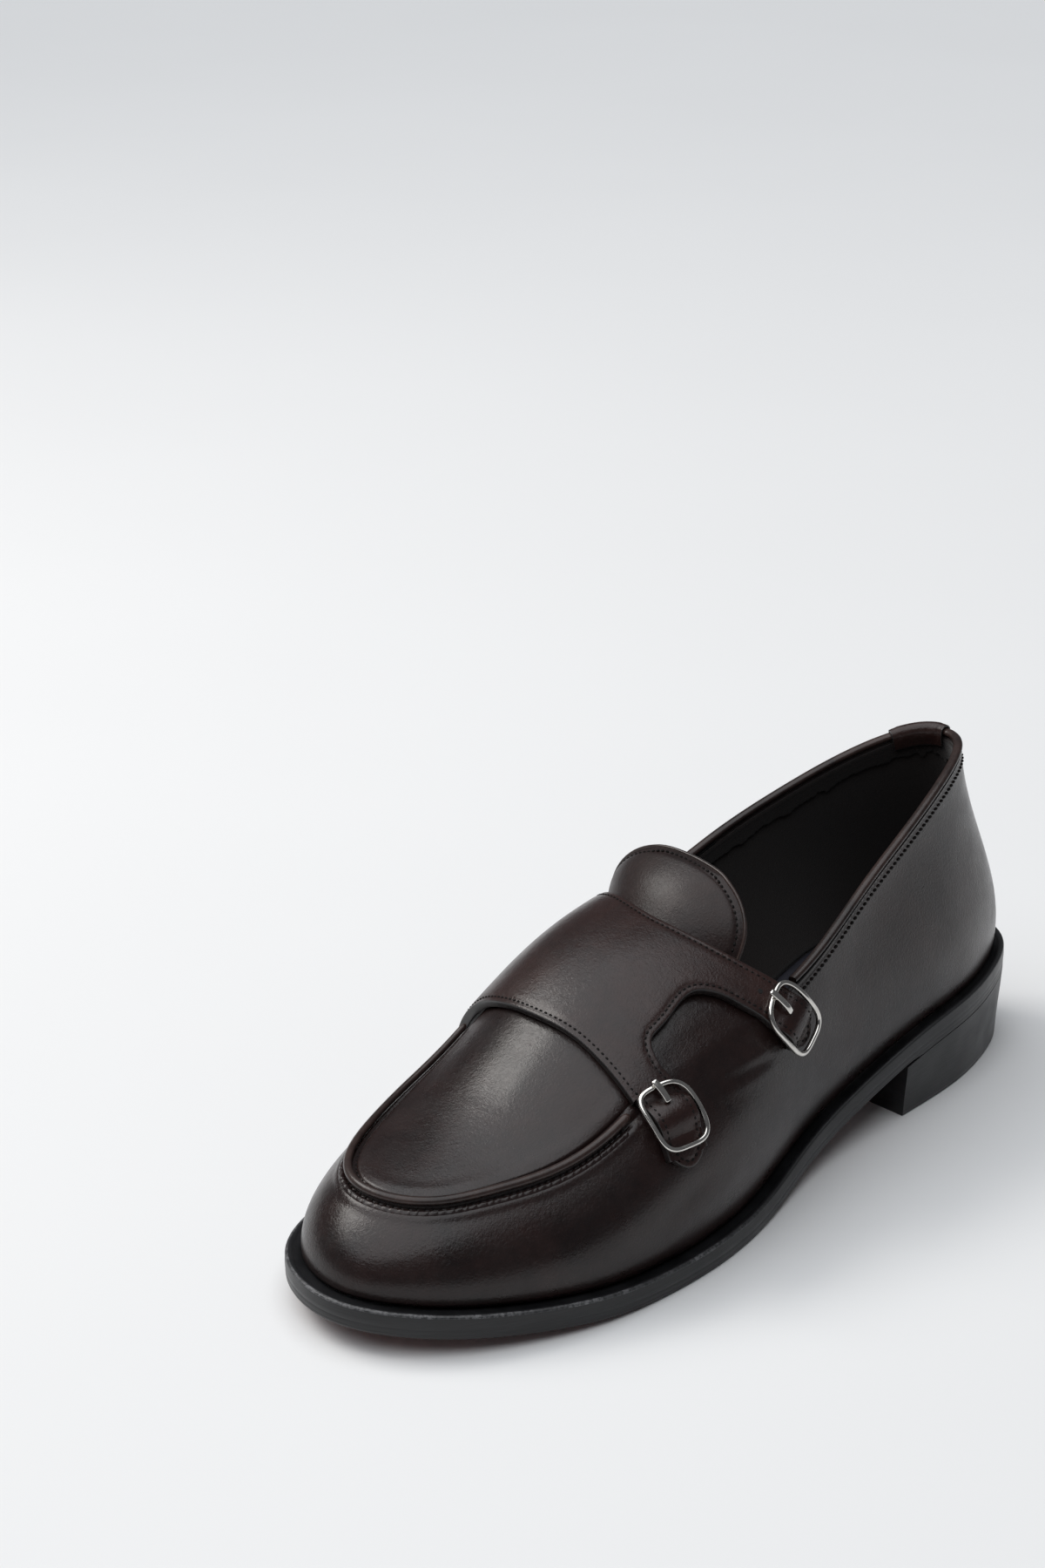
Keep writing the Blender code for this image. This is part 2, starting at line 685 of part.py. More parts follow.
def buckle_place(which):
    """Function from a buckle's own axes (along its strap, across, up) to space."""
    share = BUCKLES["share"][which]
    girth = BUCKLES["girth"][which]
    tilt = math.radians(BUCKLES["tilt"][which])
    by_share = (instep(share + SMALL, girth)[0] - instep(share - SMALL, girth)[0]) / (2 * SMALL)
    by_girth = (instep(share, girth + SMALL)[0] - instep(share, girth - SMALL)[0]) / (2 * SMALL)
    down = by_girth / np.linalg.norm(by_girth)
    back = -by_share + down * np.dot(by_share, down)
    back /= np.linalg.norm(back)
    along = down * math.cos(tilt) + back * math.sin(tilt)
    across = back * math.cos(tilt) - down * math.sin(tilt)
    inverse = np.linalg.pinv(np.stack((by_share, by_girth), 1))

    def place(s, w, lift):
        s = np.asarray(s, float)
        w = np.asarray(w, float)
        moved = s[..., None] * along + w[..., None] * across
        shift = moved @ inverse.T
        return on_instep(share + shift[..., 0], girth + shift[..., 1], lift)

    return place


def dome(s):
    """Rise of the strap over the buckle's bar."""
    near = np.clip(np.abs(s) / DOME_LENGTH, 0.0, 1.0)
    return DOME_HEIGHT * (0.5 + 0.5 * np.cos(math.pi * near))


def edge_points(table, count):
    """Even places along an edge table, as (share, girth in metres)."""
    share = np.asarray(table["share"])
    girth = np.asarray(table["girth"]) * MM
    length = np.concatenate(([0.0], np.cumsum(np.hypot(np.diff(share) * SHOE_LENGTH, np.diff(girth)))))
    at = np.linspace(0.0, length[-1], count)
    return np.stack((open_spline(length, share, at), open_spline(length, girth, at)), -1)


def make_strap():
    """One strap with a rounded window, its two tails through the buckles."""
    rear = edge_points(STRAP_REAR, STRAP_ROWS + 1)
    front = edge_points(STRAP_FRONT, STRAP_ROWS + 1)
    window = edge_points(STRAP_WINDOW, WINDOW_STEPS + 1)
    steps = 2 * ROOT_STEPS + WINDOW_STEPS
    side = np.linspace(0.0, 1.0, ROOT_STEPS + 1)[:, None]
    first = rear[-1] * (1 - side) + window[0] * side
    last = window[-1] * (1 - side) + front[-1] * side
    near = np.concatenate((first[:-1], window, last[1:]))
    end = edge_points(STRAP_END, steps + 1)
    b = np.linspace(0.0, 1.0, STRAP_ROWS + 1)[:, None, None]
    a = np.linspace(0.0, 1.0, steps + 1)[None, :, None]
    places = (end[None] * (1 - b) + near[None] * b + rear[:, None] * (1 - a) + front[:, None] * a
              - end[0] * (1 - a) * (1 - b) - near[0] * (1 - a) * b
              - end[-1] * a * (1 - b) - near[-1] * a * b)
    body = on_instep(places[..., 0], places[..., 1], np.full(places.shape[:2], STRAP_LIFT))
    points = [p for row in body for p in row]
    width = steps + 1
    faces = []
    for r in range(STRAP_ROWS):
        for k in range(steps):
            corner = r * width + k
            faces.append((corner, corner + 1, corner + width + 1, corner + width))
    roots = (range(0, ROOT_STEPS + 1), range(steps - ROOT_STEPS, steps + 1))
    for which, columns in enumerate(roots):
        previous = [STRAP_ROWS * width + k for k in columns]
        place = buckle_place(which)
        reach = BUCKLES["reach"][which]
        across = np.linspace(0.5, -0.5, ROOT_STEPS + 1) * TAIL_WIDTH
        for s in tail_stations(reach):
            narrow = tail_width(s, reach)
            lift = STRAP_LIFT + dome(s)
            row = place(np.full(len(across), s) - tail_round(across, s, reach), across * narrow,
                        np.full(len(across), lift))
            current = list(range(len(points), len(points) + len(across)))
            points += list(row)
            for k in range(ROOT_STEPS):
                faces.append((previous[k], previous[k + 1], current[k + 1], current[k]))
            previous = current
    piece = new_object("strap", points, faces, STRAP_BROWN, 0.38)
    return thicken(piece, STRAP_THICKNESS, 1)


def tail_stations(reach):
    """Places along a tail from just past its root to its tip."""
    fine = np.linspace(-DOME_LENGTH, DOME_LENGTH, 9)
    return np.concatenate(([TAIL_JOIN - TAIL_ROOT], fine, np.linspace(DOME_LENGTH, reach, 4)[1:]))


def tail_width(s, reach):
    """Share of the tail's width that is left near its rounded tip."""
    return 1.0 - TAIL_NARROW * smooth(s, reach - TAIL_TAPER, reach)


def tail_round(across, s, reach):
    """How far a tail's corners lie behind the middle of its tip."""
    return smooth(s, reach - TAIL_TAPER, reach) * TAIL_POINT * (2 * across / TAIL_WIDTH) ** 2


def rounded_frame(length, width, corner, steps):
    """Even path around a rounded rectangle, as (along, across)."""
    path = []
    for k in range(4):
        x = (length / 2 - corner) * (1 if k in (0, 3) else -1)
        y = (width / 2 - corner) * (1 if k in (0, 1) else -1)
        for i in range(steps + 1):
            turn = math.pi / 2 * (k + i / steps)
            path.append((x + corner * math.cos(turn), y + corner * math.sin(turn)))
        last = path[-1]
        path.append((0.0, last[1]) if k in (0, 2) else (last[0], 0.0))
    return np.array(path)


def make_buckle(which):
    """Rounded wire frame with a lower centre bar under the strap."""
    name = "buckle_" + BUCKLES["name"][which]
    place = buckle_place(which)
    height = STRAP_LIFT + STRAP_THICKNESS + GAP + WIRE / 2
    path = rounded_frame(BUCKLE_LENGTH - WIRE, BUCKLE_WIDTH - WIRE, BUCKLE_CORNER, CORNER_STEPS)
    s, w = path[:, 0], path[:, 1]
    centre = place(s, w, np.full(len(s), height))
    ups = place(s, w, np.full(len(s), height + SMALL)) - centre
    frame = sweep(name, centre, ups, oval(WIRE, WIRE, ROUND_SIDES), True, STEEL, 0.2, 1.0)
    w = np.array(BAR_SHAPE["across"]) * (BUCKLE_WIDTH - WIRE) / 2
    dip = np.array(BAR_SHAPE["dip"]) * BAR_DIP
    centre = place(np.zeros(len(w)), w, height - dip)
    ups = np.repeat((place(SMALL, 0.0, height) - place(-SMALL, 0.0, height))[None], len(w), 0)
    bar = sweep(name + "_bar", centre, ups, oval(BAR, BAR, ROUND_SIDES), False, STEEL, 0.2, 1.0)
    join = frame.modifiers.new("join", "BOOLEAN")
    join.operation = "UNION"
    join.solver = "EXACT"
    join.object = bar
    apply_modifiers(frame)
    bpy.data.objects.remove(bar)
    return frame


def apply_modifiers(piece):
    """Keeps the modified mesh in place of the modifiers."""
    graph = bpy.context.evaluated_depsgraph_get()
    mesh = bpy.data.meshes.new_from_object(piece.evaluated_get(graph))
    piece.modifiers.clear()
    piece.data = mesh


def make_prong(which):
    """Prong from the strap's hole to its rest on the frame, pointing back along the strap."""
    place = buckle_place(which)
    top = STRAP_LIFT + STRAP_THICKNESS + GAP
    rest = top + WIRE + GAP + PRONG_HEIGHT / 2
    s = PRONG_LENGTH * np.array(PRONG_SHAPE["along"]) - BUCKLE_LENGTH / 2 - PRONG_OVERHANG
    start = top + dome(s[0]) + PRONG_HEIGHT / 2 + GAP
    lift = start + (rest - start) * np.array(PRONG_SHAPE["rise"])
    w = np.zeros(len(s))
    centre = place(s, w, lift)
    ups = place(s, w, lift + SMALL) - centre
    section = oval(PRONG_WIDTH, PRONG_HEIGHT, ROUND_SIDES)
    return sweep("prong_" + BUCKLES["name"][which], centre, ups, section, False, STEEL, 0.2, 1.0)


def seam_frame(angle):
    """Top line with its outward direction, between the wall's and the crown's."""
    ahead = top_line(angle + SMALL) - top_line(angle - SMALL)
    lateral = np.where(angle <= math.pi, angle, 2 * math.pi - angle)
    across = np.where(angle <= math.pi, SEAM_NEAR, 1 - SEAM_NEAR)
    inner = crown_point(lateral, across)
    outer = wall_point(angle, np.full(len(angle), 1 - SEAM_NEAR))
    outward = np.cross(ahead, outer - inner)
    outward /= np.linalg.norm(outward, axis=1)[:, None]
    outward *= np.sign(outward[:, 2:3])
    return top_line(angle), outward


def make_piping():
    """Half-round piping over the apron seam, from under one end of the strap's edge to the other."""
    start = math.acos(1 - 2 * PIPING_ENDS[0])
    end = 2 * math.pi - math.acos(1 - 2 * PIPING_ENDS[1])
    angles = np.linspace(start, end, PIPING_STEPS)
    point, outward = seam_frame(angles)
    return sweep("apron_piping", point + outward * SEAM_GAP, outward, bead(PIPING_WIDTH, PIPING_HEIGHT),
                 False, PIPING_BROWN, 0.45)


def rim_frame(angle):
    """Middle of the collar's rim, its upward direction and its outward direction."""
    top = top_line(angle)
    below = wall_point(angle, np.full(len(angle), RIM_BELOW))
    up = top - below
    up /= np.linalg.norm(up, axis=1)[:, None]
    ahead = top_line(angle + SMALL) - top_line(angle - SMALL)
    ahead /= np.linalg.norm(ahead, axis=1)[:, None]
    outward = np.cross(up, ahead)
    up = np.cross(ahead, outward)
    return top - outward * WALL / 2, up, outward


def make_binding():
    """Rolled binding on the collar's rim, from the strap around the heel."""
    start = -math.acos(1 - 2 * BINDING_ENDS[1])
    end = math.acos(1 - 2 * BINDING_ENDS[0])
    angles = np.linspace(start, end, BINDING_STEPS)
    middle, up, outward = rim_frame(angles)
    rise = RIM_GAP + BINDING_HEIGHT / 2
    section = oval(BINDING_WIDTH, BINDING_HEIGHT, ROUND_SIDES)
    return sweep("collar_binding", middle + up * rise, up, section, False, BINDING_BROWN, 0.5)


def make_heel_tab():
    """Tab folded over the binding at the back of the heel and down the back seam."""
    speed = np.linalg.norm(top_line(TAB_MIDDLE + SMALL) - top_line(TAB_MIDDLE - SMALL)) / (2 * SMALL)
    angles = TAB_MIDDLE + np.linspace(-0.5, 0.5, TAB_COLUMNS) * TAB_WIDTH / speed
    middle, up, outward = rim_frame(angles)
    wide = BINDING_WIDTH / 2 + GAP
    tall = RIM_GAP + BINDING_HEIGHT + GAP
    rows = []
    for out, rise in zip(TAB_FOLD["out"], TAB_FOLD["rise"]):
        rows.append(middle + outward * out * wide + up * rise * tall)
    height = (top_line(TAB_MIDDLE) - feather(np.array((TAB_MIDDLE,)))[0])[0, 2]
    for drop in np.linspace(0.0, TAB_DROP, TAB_ROWS):
        share = np.full(len(angles), 1 - drop / height)
        face = wall_point(angles, share)
        clear = GAP + (wide - WALL / 2 - GAP) * (1 - smooth(drop, 0.0, TAB_SETTLE))
        rows.append(face + outward * clear)
    return sheet("heel_tab", rows, TAB_THICKNESS, STRAP_BROWN, 0.4)


def make_tongue():
    """Tongue that comes out from under the strap and stands over the instep."""
    columns = np.linspace(-1.0, 1.0, TONGUE_COLUMNS)
    rows = []
    for r in np.linspace(0.0, 1.0, TONGUE_ROWS):
        top = 1 - TONGUE_ROUND * (1 - np.sqrt(1 - np.abs(columns) ** TONGUE_SQUARE))
        share = TONGUE_ROOT + (TONGUE_TOP - TONGUE_ROOT) * r * top
        high = smooth(share, TONGUE_BEND, TONGUE_TOP)
        girth = TONGUE_HALF * columns + TONGUE_MIDDLE + TONGUE_LEAN * high
        behind = np.interp(girth, STRAP_REAR["girth"], STRAP_REAR["share"]) - share
        rise = np.interp(behind, TONGUE_RISE["behind"], TONGUE_RISE["lift"]) * MM
        rows.append(on_instep(share, girth * MM, rise))
    return sheet("tongue", rows, TONGUE_THICKNESS, DARK_BROWN, 0.4)


def main():
    for old in list(bpy.data.objects):
        bpy.data.objects.remove(old)
    make_outsole()
    make_heel()
    make_insole()
    make_upper()
    make_tongue()
    make_strap()
    for which in range(2):
        make_buckle(which)
        make_prong(which)
    make_piping()
    make_binding()
    make_heel_tab()


main()
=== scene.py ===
"""Looks of a slip-on loafer with two buckles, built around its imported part, for Blender 4.5.

Frame: metres, +Z up, the toe towards -Y, the heel towards +Y, the outer (lateral) side towards +X.
Sections are worked out by the angle around the shoe: 0 at the back of the heel, a quarter turn on the
lateral side, half a turn at the toe tip, and three quarters on the medial side.
"""
import math

import bmesh
import bpy
import numpy as np
from mathutils import Matrix, Vector


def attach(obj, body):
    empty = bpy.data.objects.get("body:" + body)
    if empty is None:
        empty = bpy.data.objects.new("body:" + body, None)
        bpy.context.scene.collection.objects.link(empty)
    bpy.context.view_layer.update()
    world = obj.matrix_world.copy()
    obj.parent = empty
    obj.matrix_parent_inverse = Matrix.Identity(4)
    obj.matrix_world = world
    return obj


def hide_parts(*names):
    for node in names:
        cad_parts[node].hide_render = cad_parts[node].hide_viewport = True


bl_info = {
    "name": "Buckled Loafer Looks",
    "version": (1, 0, 0),
    "blender": (4, 5, 0),
    "location": "3D View > Sidebar > Loafer",
    "description": "Builds the leather, trims, stitching, sole and studio of a two-buckle loafer",
    "category": "Object",
}

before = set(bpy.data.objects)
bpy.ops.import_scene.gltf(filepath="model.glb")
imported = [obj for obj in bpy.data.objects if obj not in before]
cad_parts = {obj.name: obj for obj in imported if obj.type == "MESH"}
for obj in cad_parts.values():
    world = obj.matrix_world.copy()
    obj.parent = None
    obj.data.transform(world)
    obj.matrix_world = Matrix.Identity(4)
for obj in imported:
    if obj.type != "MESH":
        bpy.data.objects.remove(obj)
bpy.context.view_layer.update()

# Driving sizes of the last and the sole
SHOE_LENGTH = 0.290
BALL_WIDTH = 0.095
HEEL_HEIGHT = 0.026
TOE_SPRING = 0.0075
SOLE_EDGE = 0.0076
COLLAR_HEIGHT = 0.110
CROWN_HEIGHT = 0.0155
SIDE_SHIFT = -0.0026
WALL = 0.0020
GAP = 0.0003
WELT_FRONT = 0.0048
WELT_BACK = 0.0036
WELT_FROM = 0.1
WELT_TO = 0.5
HEEL_LENGTH = 0.0778
HEEL_INSET = 0.0014
INSOLE_THICKNESS = 0.0022
APRON_HALF = 0.36
FLAT_FROM = 0.57
FLAT_TO = 0.68
SHOULDER_FROM = 0.560
SHOULDER_TO = 0.700
SHOULDER_REACH = 0.009
SHOULDER_PASSES = 180

# Smoothed instep under the strap
ARCH_FROM = 0.24
ARCH_TO = 0.84
ARCH_ROWS = 121
ARCH_GIRTH = 0.078
ARCH_COLUMNS = 157
ARCH_SOFT = 0.006
ARCH_FOOT = 0.2
ARCH_STEPS = 32
ARCH_EVEN = 241

# Sole outline: half-widths of the two sides, as shares of the ball width
OUTLINE = {
    "along":   (0.03, 0.08, 0.15, 0.25, 0.35, 0.45, 0.55, 0.62, 0.70, 0.78, 0.86, 0.92, 0.97),
    "lateral": (0.187, 0.267, 0.327, 0.355, 0.368, 0.408, 0.490, 0.532, 0.543, 0.522, 0.444, 0.346, 0.208),
    "medial":  (0.198, 0.293, 0.335, 0.314, 0.278, 0.281, 0.339, 0.408, 0.454, 0.478, 0.459, 0.391, 0.272),
}
HEEL_SHIFT = 0.0
TOE_SHIFT = -0.022

# Underside of the sole: shares of the heel height and of the toe spring
UNDERSIDE = {
    "along": (0.0, 0.12, 0.23, 0.33, 0.43, 0.52, 0.57, 0.68, 0.74, 0.82, 0.90, 1.0),
    "heel":  (1.0, 0.88, 0.78, 0.54, 0.265, 0.045, 0.0, 0.0, 0.0, 0.0, 0.0, 0.0),
    "toe":   (0.0, 0.0, 0.0, 0.0, 0.0, 0.0, 0.0, 0.0, 0.07, 0.30, 0.60, 1.0),
}

# Top line: the collar from the heel to the throat, then the apron seam to the toe
TOP_LINE = {
    "along":   (0.02, 0.06, 0.12, 0.20, 0.30, 0.40, 0.50, 0.60, 0.68, 0.75, 0.83, 0.90, 0.96),
    "lateral": (0.090, 0.150, 0.200, 0.243, 0.286, 0.333, 0.360, 0.350, 0.332, 0.331, 0.301, 0.236, 0.150),
    "medial":  (0.118, 0.196, 0.262, 0.322, 0.368, 0.389, 0.396, 0.389, 0.380, 0.384, 0.362, 0.311, 0.232),
    "lateral_height": (0.940, 0.922, 0.884, 0.820, 0.731, 0.638, 0.576, 0.538, 0.493, 0.425, 0.368,
                       0.348, 0.337),
    "medial_height":  (0.935, 0.906, 0.862, 0.800, 0.724, 0.652, 0.622, 0.586, 0.518, 0.430, 0.374,
                       0.351, 0.344),
}
TOP_BACK = 0.0705
TOP_TOE = 0.925
TOP_BACK_SHIFT = -0.012
TOP_TOE_SHIFT = -0.058
TOP_BACK_HEIGHT = 0.944
TOP_TOE_HEIGHT = 0.338

# Wall of the upper: the two handles of each column's curve, as shares of the column's height
WALL_CURVE = {
    "along":             (0.0, 0.15, 0.35, 0.50, 0.65, 0.80, 0.92, 1.0),
    "lateral_low_out":   (0.04, 0.08, 0.16, 0.14, 0.10, 0.08, 0.06, 0.06),
    "lateral_low_up":    (0.35, 0.35, 0.35, 0.38, 0.45, 0.48, 0.48, 0.46),
    "lateral_high_out":  (0.04, 0.03, 0.03, 0.14, 0.26, 0.28, 0.28, 0.28),
    "lateral_high_down": (0.38, 0.35, 0.33, 0.34, 0.26, 0.22, 0.20, 0.20),
    "medial_low_out":    (0.04, 0.09, 0.22, 0.24, 0.14, 0.08, 0.06, 0.06),
    "medial_low_up":     (0.35, 0.35, 0.32, 0.34, 0.42, 0.46, 0.48, 0.46),
    "medial_high_out":   (0.04, 0.03, 0.04, 0.14, 0.22, 0.22, 0.24, 0.28),
    "medial_high_down":  (0.38, 0.35, 0.35, 0.36, 0.28, 0.22, 0.20, 0.20),
}

# Crown across the apron and the instep, as shares of the crown height
CROWN = {
    "along":  (0.0, 0.45, 0.55, 0.68, 0.75, 0.83, 0.90, 1.0),
    "height": (0.88, 0.88, 0.88, 0.94, 0.87, 0.62, 0.46, 0.40),
    "lateral_power": (1.9, 1.9, 1.9, 1.9, 2.0, 2.0, 2.0, 2.0),
    "medial_power":  (3.8, 3.8, 3.6, 3.0, 2.5, 2.1, 2.0, 2.0),
}
THROAT = 0.52
THROAT_ARC = 0.034
THROAT_FADE = 0.0625

# Side of the sole and of the heel, from the top edge down, as shares of their thickness
SOLE_SIDE = {
    "down":  (0.09, 0.03, 0.0, 0.0, 0.01, 0.03, 0.06, 0.10, 0.17, 0.40, 0.575, 0.59, 0.605,
              0.79, 0.80, 0.81, 0.90, 0.96, 1.0),
    "inset": (0.34, 0.26, 0.19, 0.12, 0.07, 0.035, 0.012, 0.0, 0.0, -0.012, -0.004, 0.004, 0.0,
              0.0, 0.004, 0.0, 0.012, 0.045, 0.11),
}
RIDGE_ROWS = (3, 7)
LOWER_EDGE = 0.85
HEEL_SIDE = {
    "down":  (0.0, 0.25, 0.50, 0.75, 0.90, 0.97, 0.99, 1.0),
    "inset": (0.0, 0.25, 0.60, 0.85, 0.95, 1.05, 1.25, 1.6),
}

# Strap edges as places on the instep: share along the shoe, girth in mm from its middle
STRAP_THICKNESS = 0.0022
STRAP_LIFT = 0.0016
STRAP_REAR = {
    "share": (0.450, 0.470, 0.501, 0.522, 0.531, 0.537, 0.539, 0.534, 0.522, 0.503, 0.4894),
    "girth": (-49.0, -41.7, -32.4, -22.0, -15.5, -8.6, -1.0, 8.0, 17.0, 27.2, 33.2),
}
STRAP_FRONT = {
    "share": (0.700, 0.708, 0.712, 0.718, 0.722, 0.7235, 0.723, 0.722, 0.722, 0.722, 0.7224),
    "girth": (-50.7, -40.0, -30.6, -22.0, -13.3, -5.6, 4.4, 12.3, 20.4, 28.0, 36.4),
}
STRAP_END = {
    "share": (0.450, 0.462, 0.485, 0.514, 0.541, 0.569, 0.594, 0.619, 0.643, 0.678, 0.700),
    "girth": (-49.0, -53.5, -56.2, -57.4, -58.3, -58.5, -58.0, -57.0, -55.6, -52.4, -50.7),
}
STRAP_WINDOW = {
    "share": (0.5316, 0.543, 0.555, 0.568, 0.580, 0.598, 0.625, 0.650, 0.661, 0.668, 0.672, 0.6744),
    "girth": (39.4, 35.0, 30.0, 26.5, 24.6, 24.1, 25.6, 26.5, 27.0, 28.6, 31.2, 34.5),
}
BUCKLES = {
    "name":  ("rear", "front"),
    "share": (0.487, 0.689),
    "girth": (0.0467, 0.0473),
    "tilt":  (30.0, 9.0),
    "reach": (0.0092, 0.0142),
}
TAIL_WIDTH = 0.0124
TAIL_ROOT = 0.0120
TAIL_JOIN = 0.0030
TAIL_TAPER = 0.0040
TAIL_NARROW = 0.22
TAIL_POINT = 0.0034
DOME_HEIGHT = 0.0025
DOME_LENGTH = 0.0052
BUCKLE_LENGTH = 0.0192
BUCKLE_WIDTH = 0.0172
BUCKLE_SQUARE = 3.5
WIRE = 0.0018
BAR = 0.0015
BAR_DIP = 0.0021
BAR_SHAPE = {
    "across": (-1.0, -0.975, -0.88, -0.6, 0.0, 0.6, 0.88, 0.975, 1.0),
    "dip":    (0.0, 0.45, 0.9, 1.0, 1.0, 1.0, 0.9, 0.45, 0.0),
}
PRONG_LENGTH = 0.0068
PRONG_WIDTH = 0.0020
PRONG_HEIGHT = 0.0012
PRONG_OVERHANG = 0.0007
PRONG_SHAPE = {
    "along": (1.0, 0.85, 0.7, 0.55, 0.4, 0.25, 0.12, 0.05, 0.0),
    "rise":  (-0.1, 0.28, 0.55, 0.76, 0.9, 0.97, 1.0, 1.0, 0.95),
}

# Beads and trims
PIPING_WIDTH = 0.0026
PIPING_HEIGHT = 0.0016
PIPING_ENDS = (0.732, 0.722)
BINDING_WIDTH = 0.0030
BINDING_HEIGHT = 0.0022
BINDING_ENDS = (0.452, 0.452)
TAB_WIDTH = 0.018
TAB_DROP = 0.028
TAB_THICKNESS = 0.0010
TAB_MIDDLE = -0.20
TAB_SETTLE = 0.008
TAB_FOLD = {
    "out":  (-1.0, -1.0, -1.0, -1.0, -0.93, -0.8, -0.6, -0.4, -0.2, 0.0, 0.2, 0.4, 0.6, 0.8, 0.93, 1.0),
    "rise": (-0.9, -0.6, -0.3, 0.0, 0.45, 0.72, 0.88, 0.96, 1.0, 1.02, 1.0, 0.96, 0.88, 0.72, 0.45, 0.1),
}

# Tongue: places as for the strap, in mm, and its rise over the instep
TONGUE_THICKNESS = 0.0022
TONGUE_HALF = 30.0
TONGUE_MIDDLE = -4.0
TONGUE_LEAN = -9.0
TONGUE_ROOT = 0.585
TONGUE_TOP = 0.448
TONGUE_ROUND = 0.29
TONGUE_SQUARE = 2.6
TONGUE_BEND = 0.53
TONGUE_RISE = {
    "behind": (-0.060, -0.019, -0.001, 0.024, 0.048, 0.080),
    "lift":   (-5.3, -5.3, -2.8, 2.4, 6.4, 9.6),
}

# Soft folds of the upper: places as (angle, share of the wall or across the crown), width and height
# in mm; a trough has a negative height. Eight places on the ridges, and one on the apron, follow the
# photograph. The troughs, the ends of the folds and the two medial folds are chosen.
FOLDS = (
    {"on": "wall", "path": ((1.99, 0.97), (1.93, 0.99), (1.84, 0.985), (1.75, 0.97)),
     "width": 3.2, "height": 0.50},
    {"on": "wall", "path": ((1.87, 0.92), (1.76, 0.915), (1.62, 0.88)), "width": 2.2, "height": -0.35},
    {"on": "wall", "path": ((1.83, 0.87), (1.758, 0.85), (1.588, 0.817), (1.50, 0.81)),
     "width": 3.0, "height": 0.42},
    {"on": "wall", "path": ((1.84, 0.81), (1.72, 0.79), (1.60, 0.77)), "width": 2.0, "height": -0.28},
    {"on": "wall", "path": ((1.86, 0.77), (1.789, 0.758), (1.671, 0.733), (1.60, 0.72)),
     "width": 2.6, "height": 0.30},
    {"on": "wall", "path": ((1.99, 0.14), (1.924, 0.183), (1.824, 0.242), (1.74, 0.30)),
     "width": 4.0, "height": 0.50},
    {"on": "wall", "path": ((2.00, 0.24), (1.93, 0.30), (1.85, 0.37)), "width": 3.4, "height": -0.40},
    {"on": "crown", "path": ((2.15, 0.40), (2.223, 0.492), (2.30, 0.50)), "width": 6.0, "height": -0.16},
    {"on": "crown", "path": ((2.12, 0.50), (2.19, 0.43), (2.27, 0.38)), "width": 4.5, "height": 0.14},
    {"on": "wall", "path": ((4.36, 0.24), (4.42, 0.33), (4.50, 0.44)), "width": 4.4, "height": -0.35},
    {"on": "wall", "path": ((4.25, 0.22), (4.31, 0.32), (4.38, 0.43)), "width": 4.4, "height": 0.35},
)
FOLD_STEPS = 12

# Leather near its seams: rows of (height, distance from the seam, width), in metres, and where each begins
PIPING_RECESS = ((-0.00085, 0.0020, 0.0008), (0.00030, 0.0046, 0.0014))
COLLAR_RECESS = ((-0.00022, 0.0012, 0.0003), (-0.00012, 0.0026, 0.0004))
APRON_RECESS = ((-0.00062, 0.0018, 0.00045), (0.00022, 0.0050, 0.0022))
PIPING_SPAN = (0.66, 0.71)
COLLAR_SPAN = (0.43, 0.47)
APRON_SPAN = (0.60, 0.68)

# Gathered edge of the vamp: distance below the seam, rise in mm and share of the pleats
EDGE_PROFILE = {
    "down":  (0.0023, 0.0025, 0.0028, 0.0032, 0.0037, 0.0043, 0.0051),
    "rise":  (-0.50, -0.05, 0.26, 0.30, 0.18, 0.00, -0.25),
    "pleat": (0.45, 0.80, 0.75, 0.45, 0.20, 0.05, 0.0),
}
PLEAT_PITCH = 0.0022
PLEAT_WANDER = 0.0011

# Stitch rows, as distances from an edge or a seam
STITCH_INSET = 0.00155
APRON_ROW = 0.0019
MEDIAL_ROW = 0.0050
MEDIAL_SIDE = -0.036
TONGUE_ROW = 0.0021
COLLAR_ROW = 0.0029
TAB_ROW = 0.0016

# Punched holes: the buckle that each lies by, and its place along the tail
HOLES = {
    "buckle": (0, 0, 1),
    "along":  (-0.0123, -0.0029, -0.0029),
}
HOLE_RADIUS = 0.00085
HOLE_SIDES = 16

# Side of the sock leather, from its middle to its foot: inset in metres and share of its thickness
SOCK_SIDE = {
    "inset": (0.004, 0.0015, 0.0005, 0.0, 0.0),
    "rise":  (0.82, 0.86, 0.98, 0.85, 0.0),
}

# Colours, as linear values
UPPER_DARK = (0.0085, 0.0048, 0.0046)
UPPER_LIGHT = (0.0190, 0.0094, 0.0084)
STRAP_DARK = (0.0120, 0.0055, 0.0050)
STRAP_LIGHT = (0.0260, 0.0110, 0.0092)
TRIM_DARK = (0.0110, 0.0062, 0.0056)
TRIM_LIGHT = (0.0400, 0.0235, 0.0200)
EDGE_DARK = (0.0050, 0.0040, 0.0040)
EDGE_LIGHT = (0.0140, 0.0100, 0.0095)
LINING_BLACK = (0.0040, 0.0036, 0.0040)
LINING_SUEDE = (0.0160, 0.0095, 0.0080)
SOCK_DARK = (0.0080, 0.0080, 0.0130)
SOCK_LIGHT = (0.0180, 0.0180, 0.0280)
THREAD_DARK = (0.0018, 0.0014, 0.0014)
THREAD_LIGHT = (0.0080, 0.0058, 0.0055)
SOLE_DARK = (0.0055, 0.0055, 0.0062)
SOLE_LIGHT = (0.0150, 0.0150, 0.0165)
# Pale colour of the sole's top ridge: partly rubbed wear, partly painted highlight
RIDGE_WEAR_AND_HIGHLIGHT = (0.1500, 0.1500, 0.1560)
UNDER_DARK = (0.0500, 0.0120, 0.0100)
UNDER_LIGHT = (0.1100, 0.0300, 0.0240)
# Painted shade of the punched holes, near black
HOLE_SHADE_BLACK = (0.0015, 0.0012, 0.0012)
HOLE_SHADE_BROWN = (0.0040, 0.0030, 0.0030)
STEEL_DARK = (0.56, 0.54, 0.51)
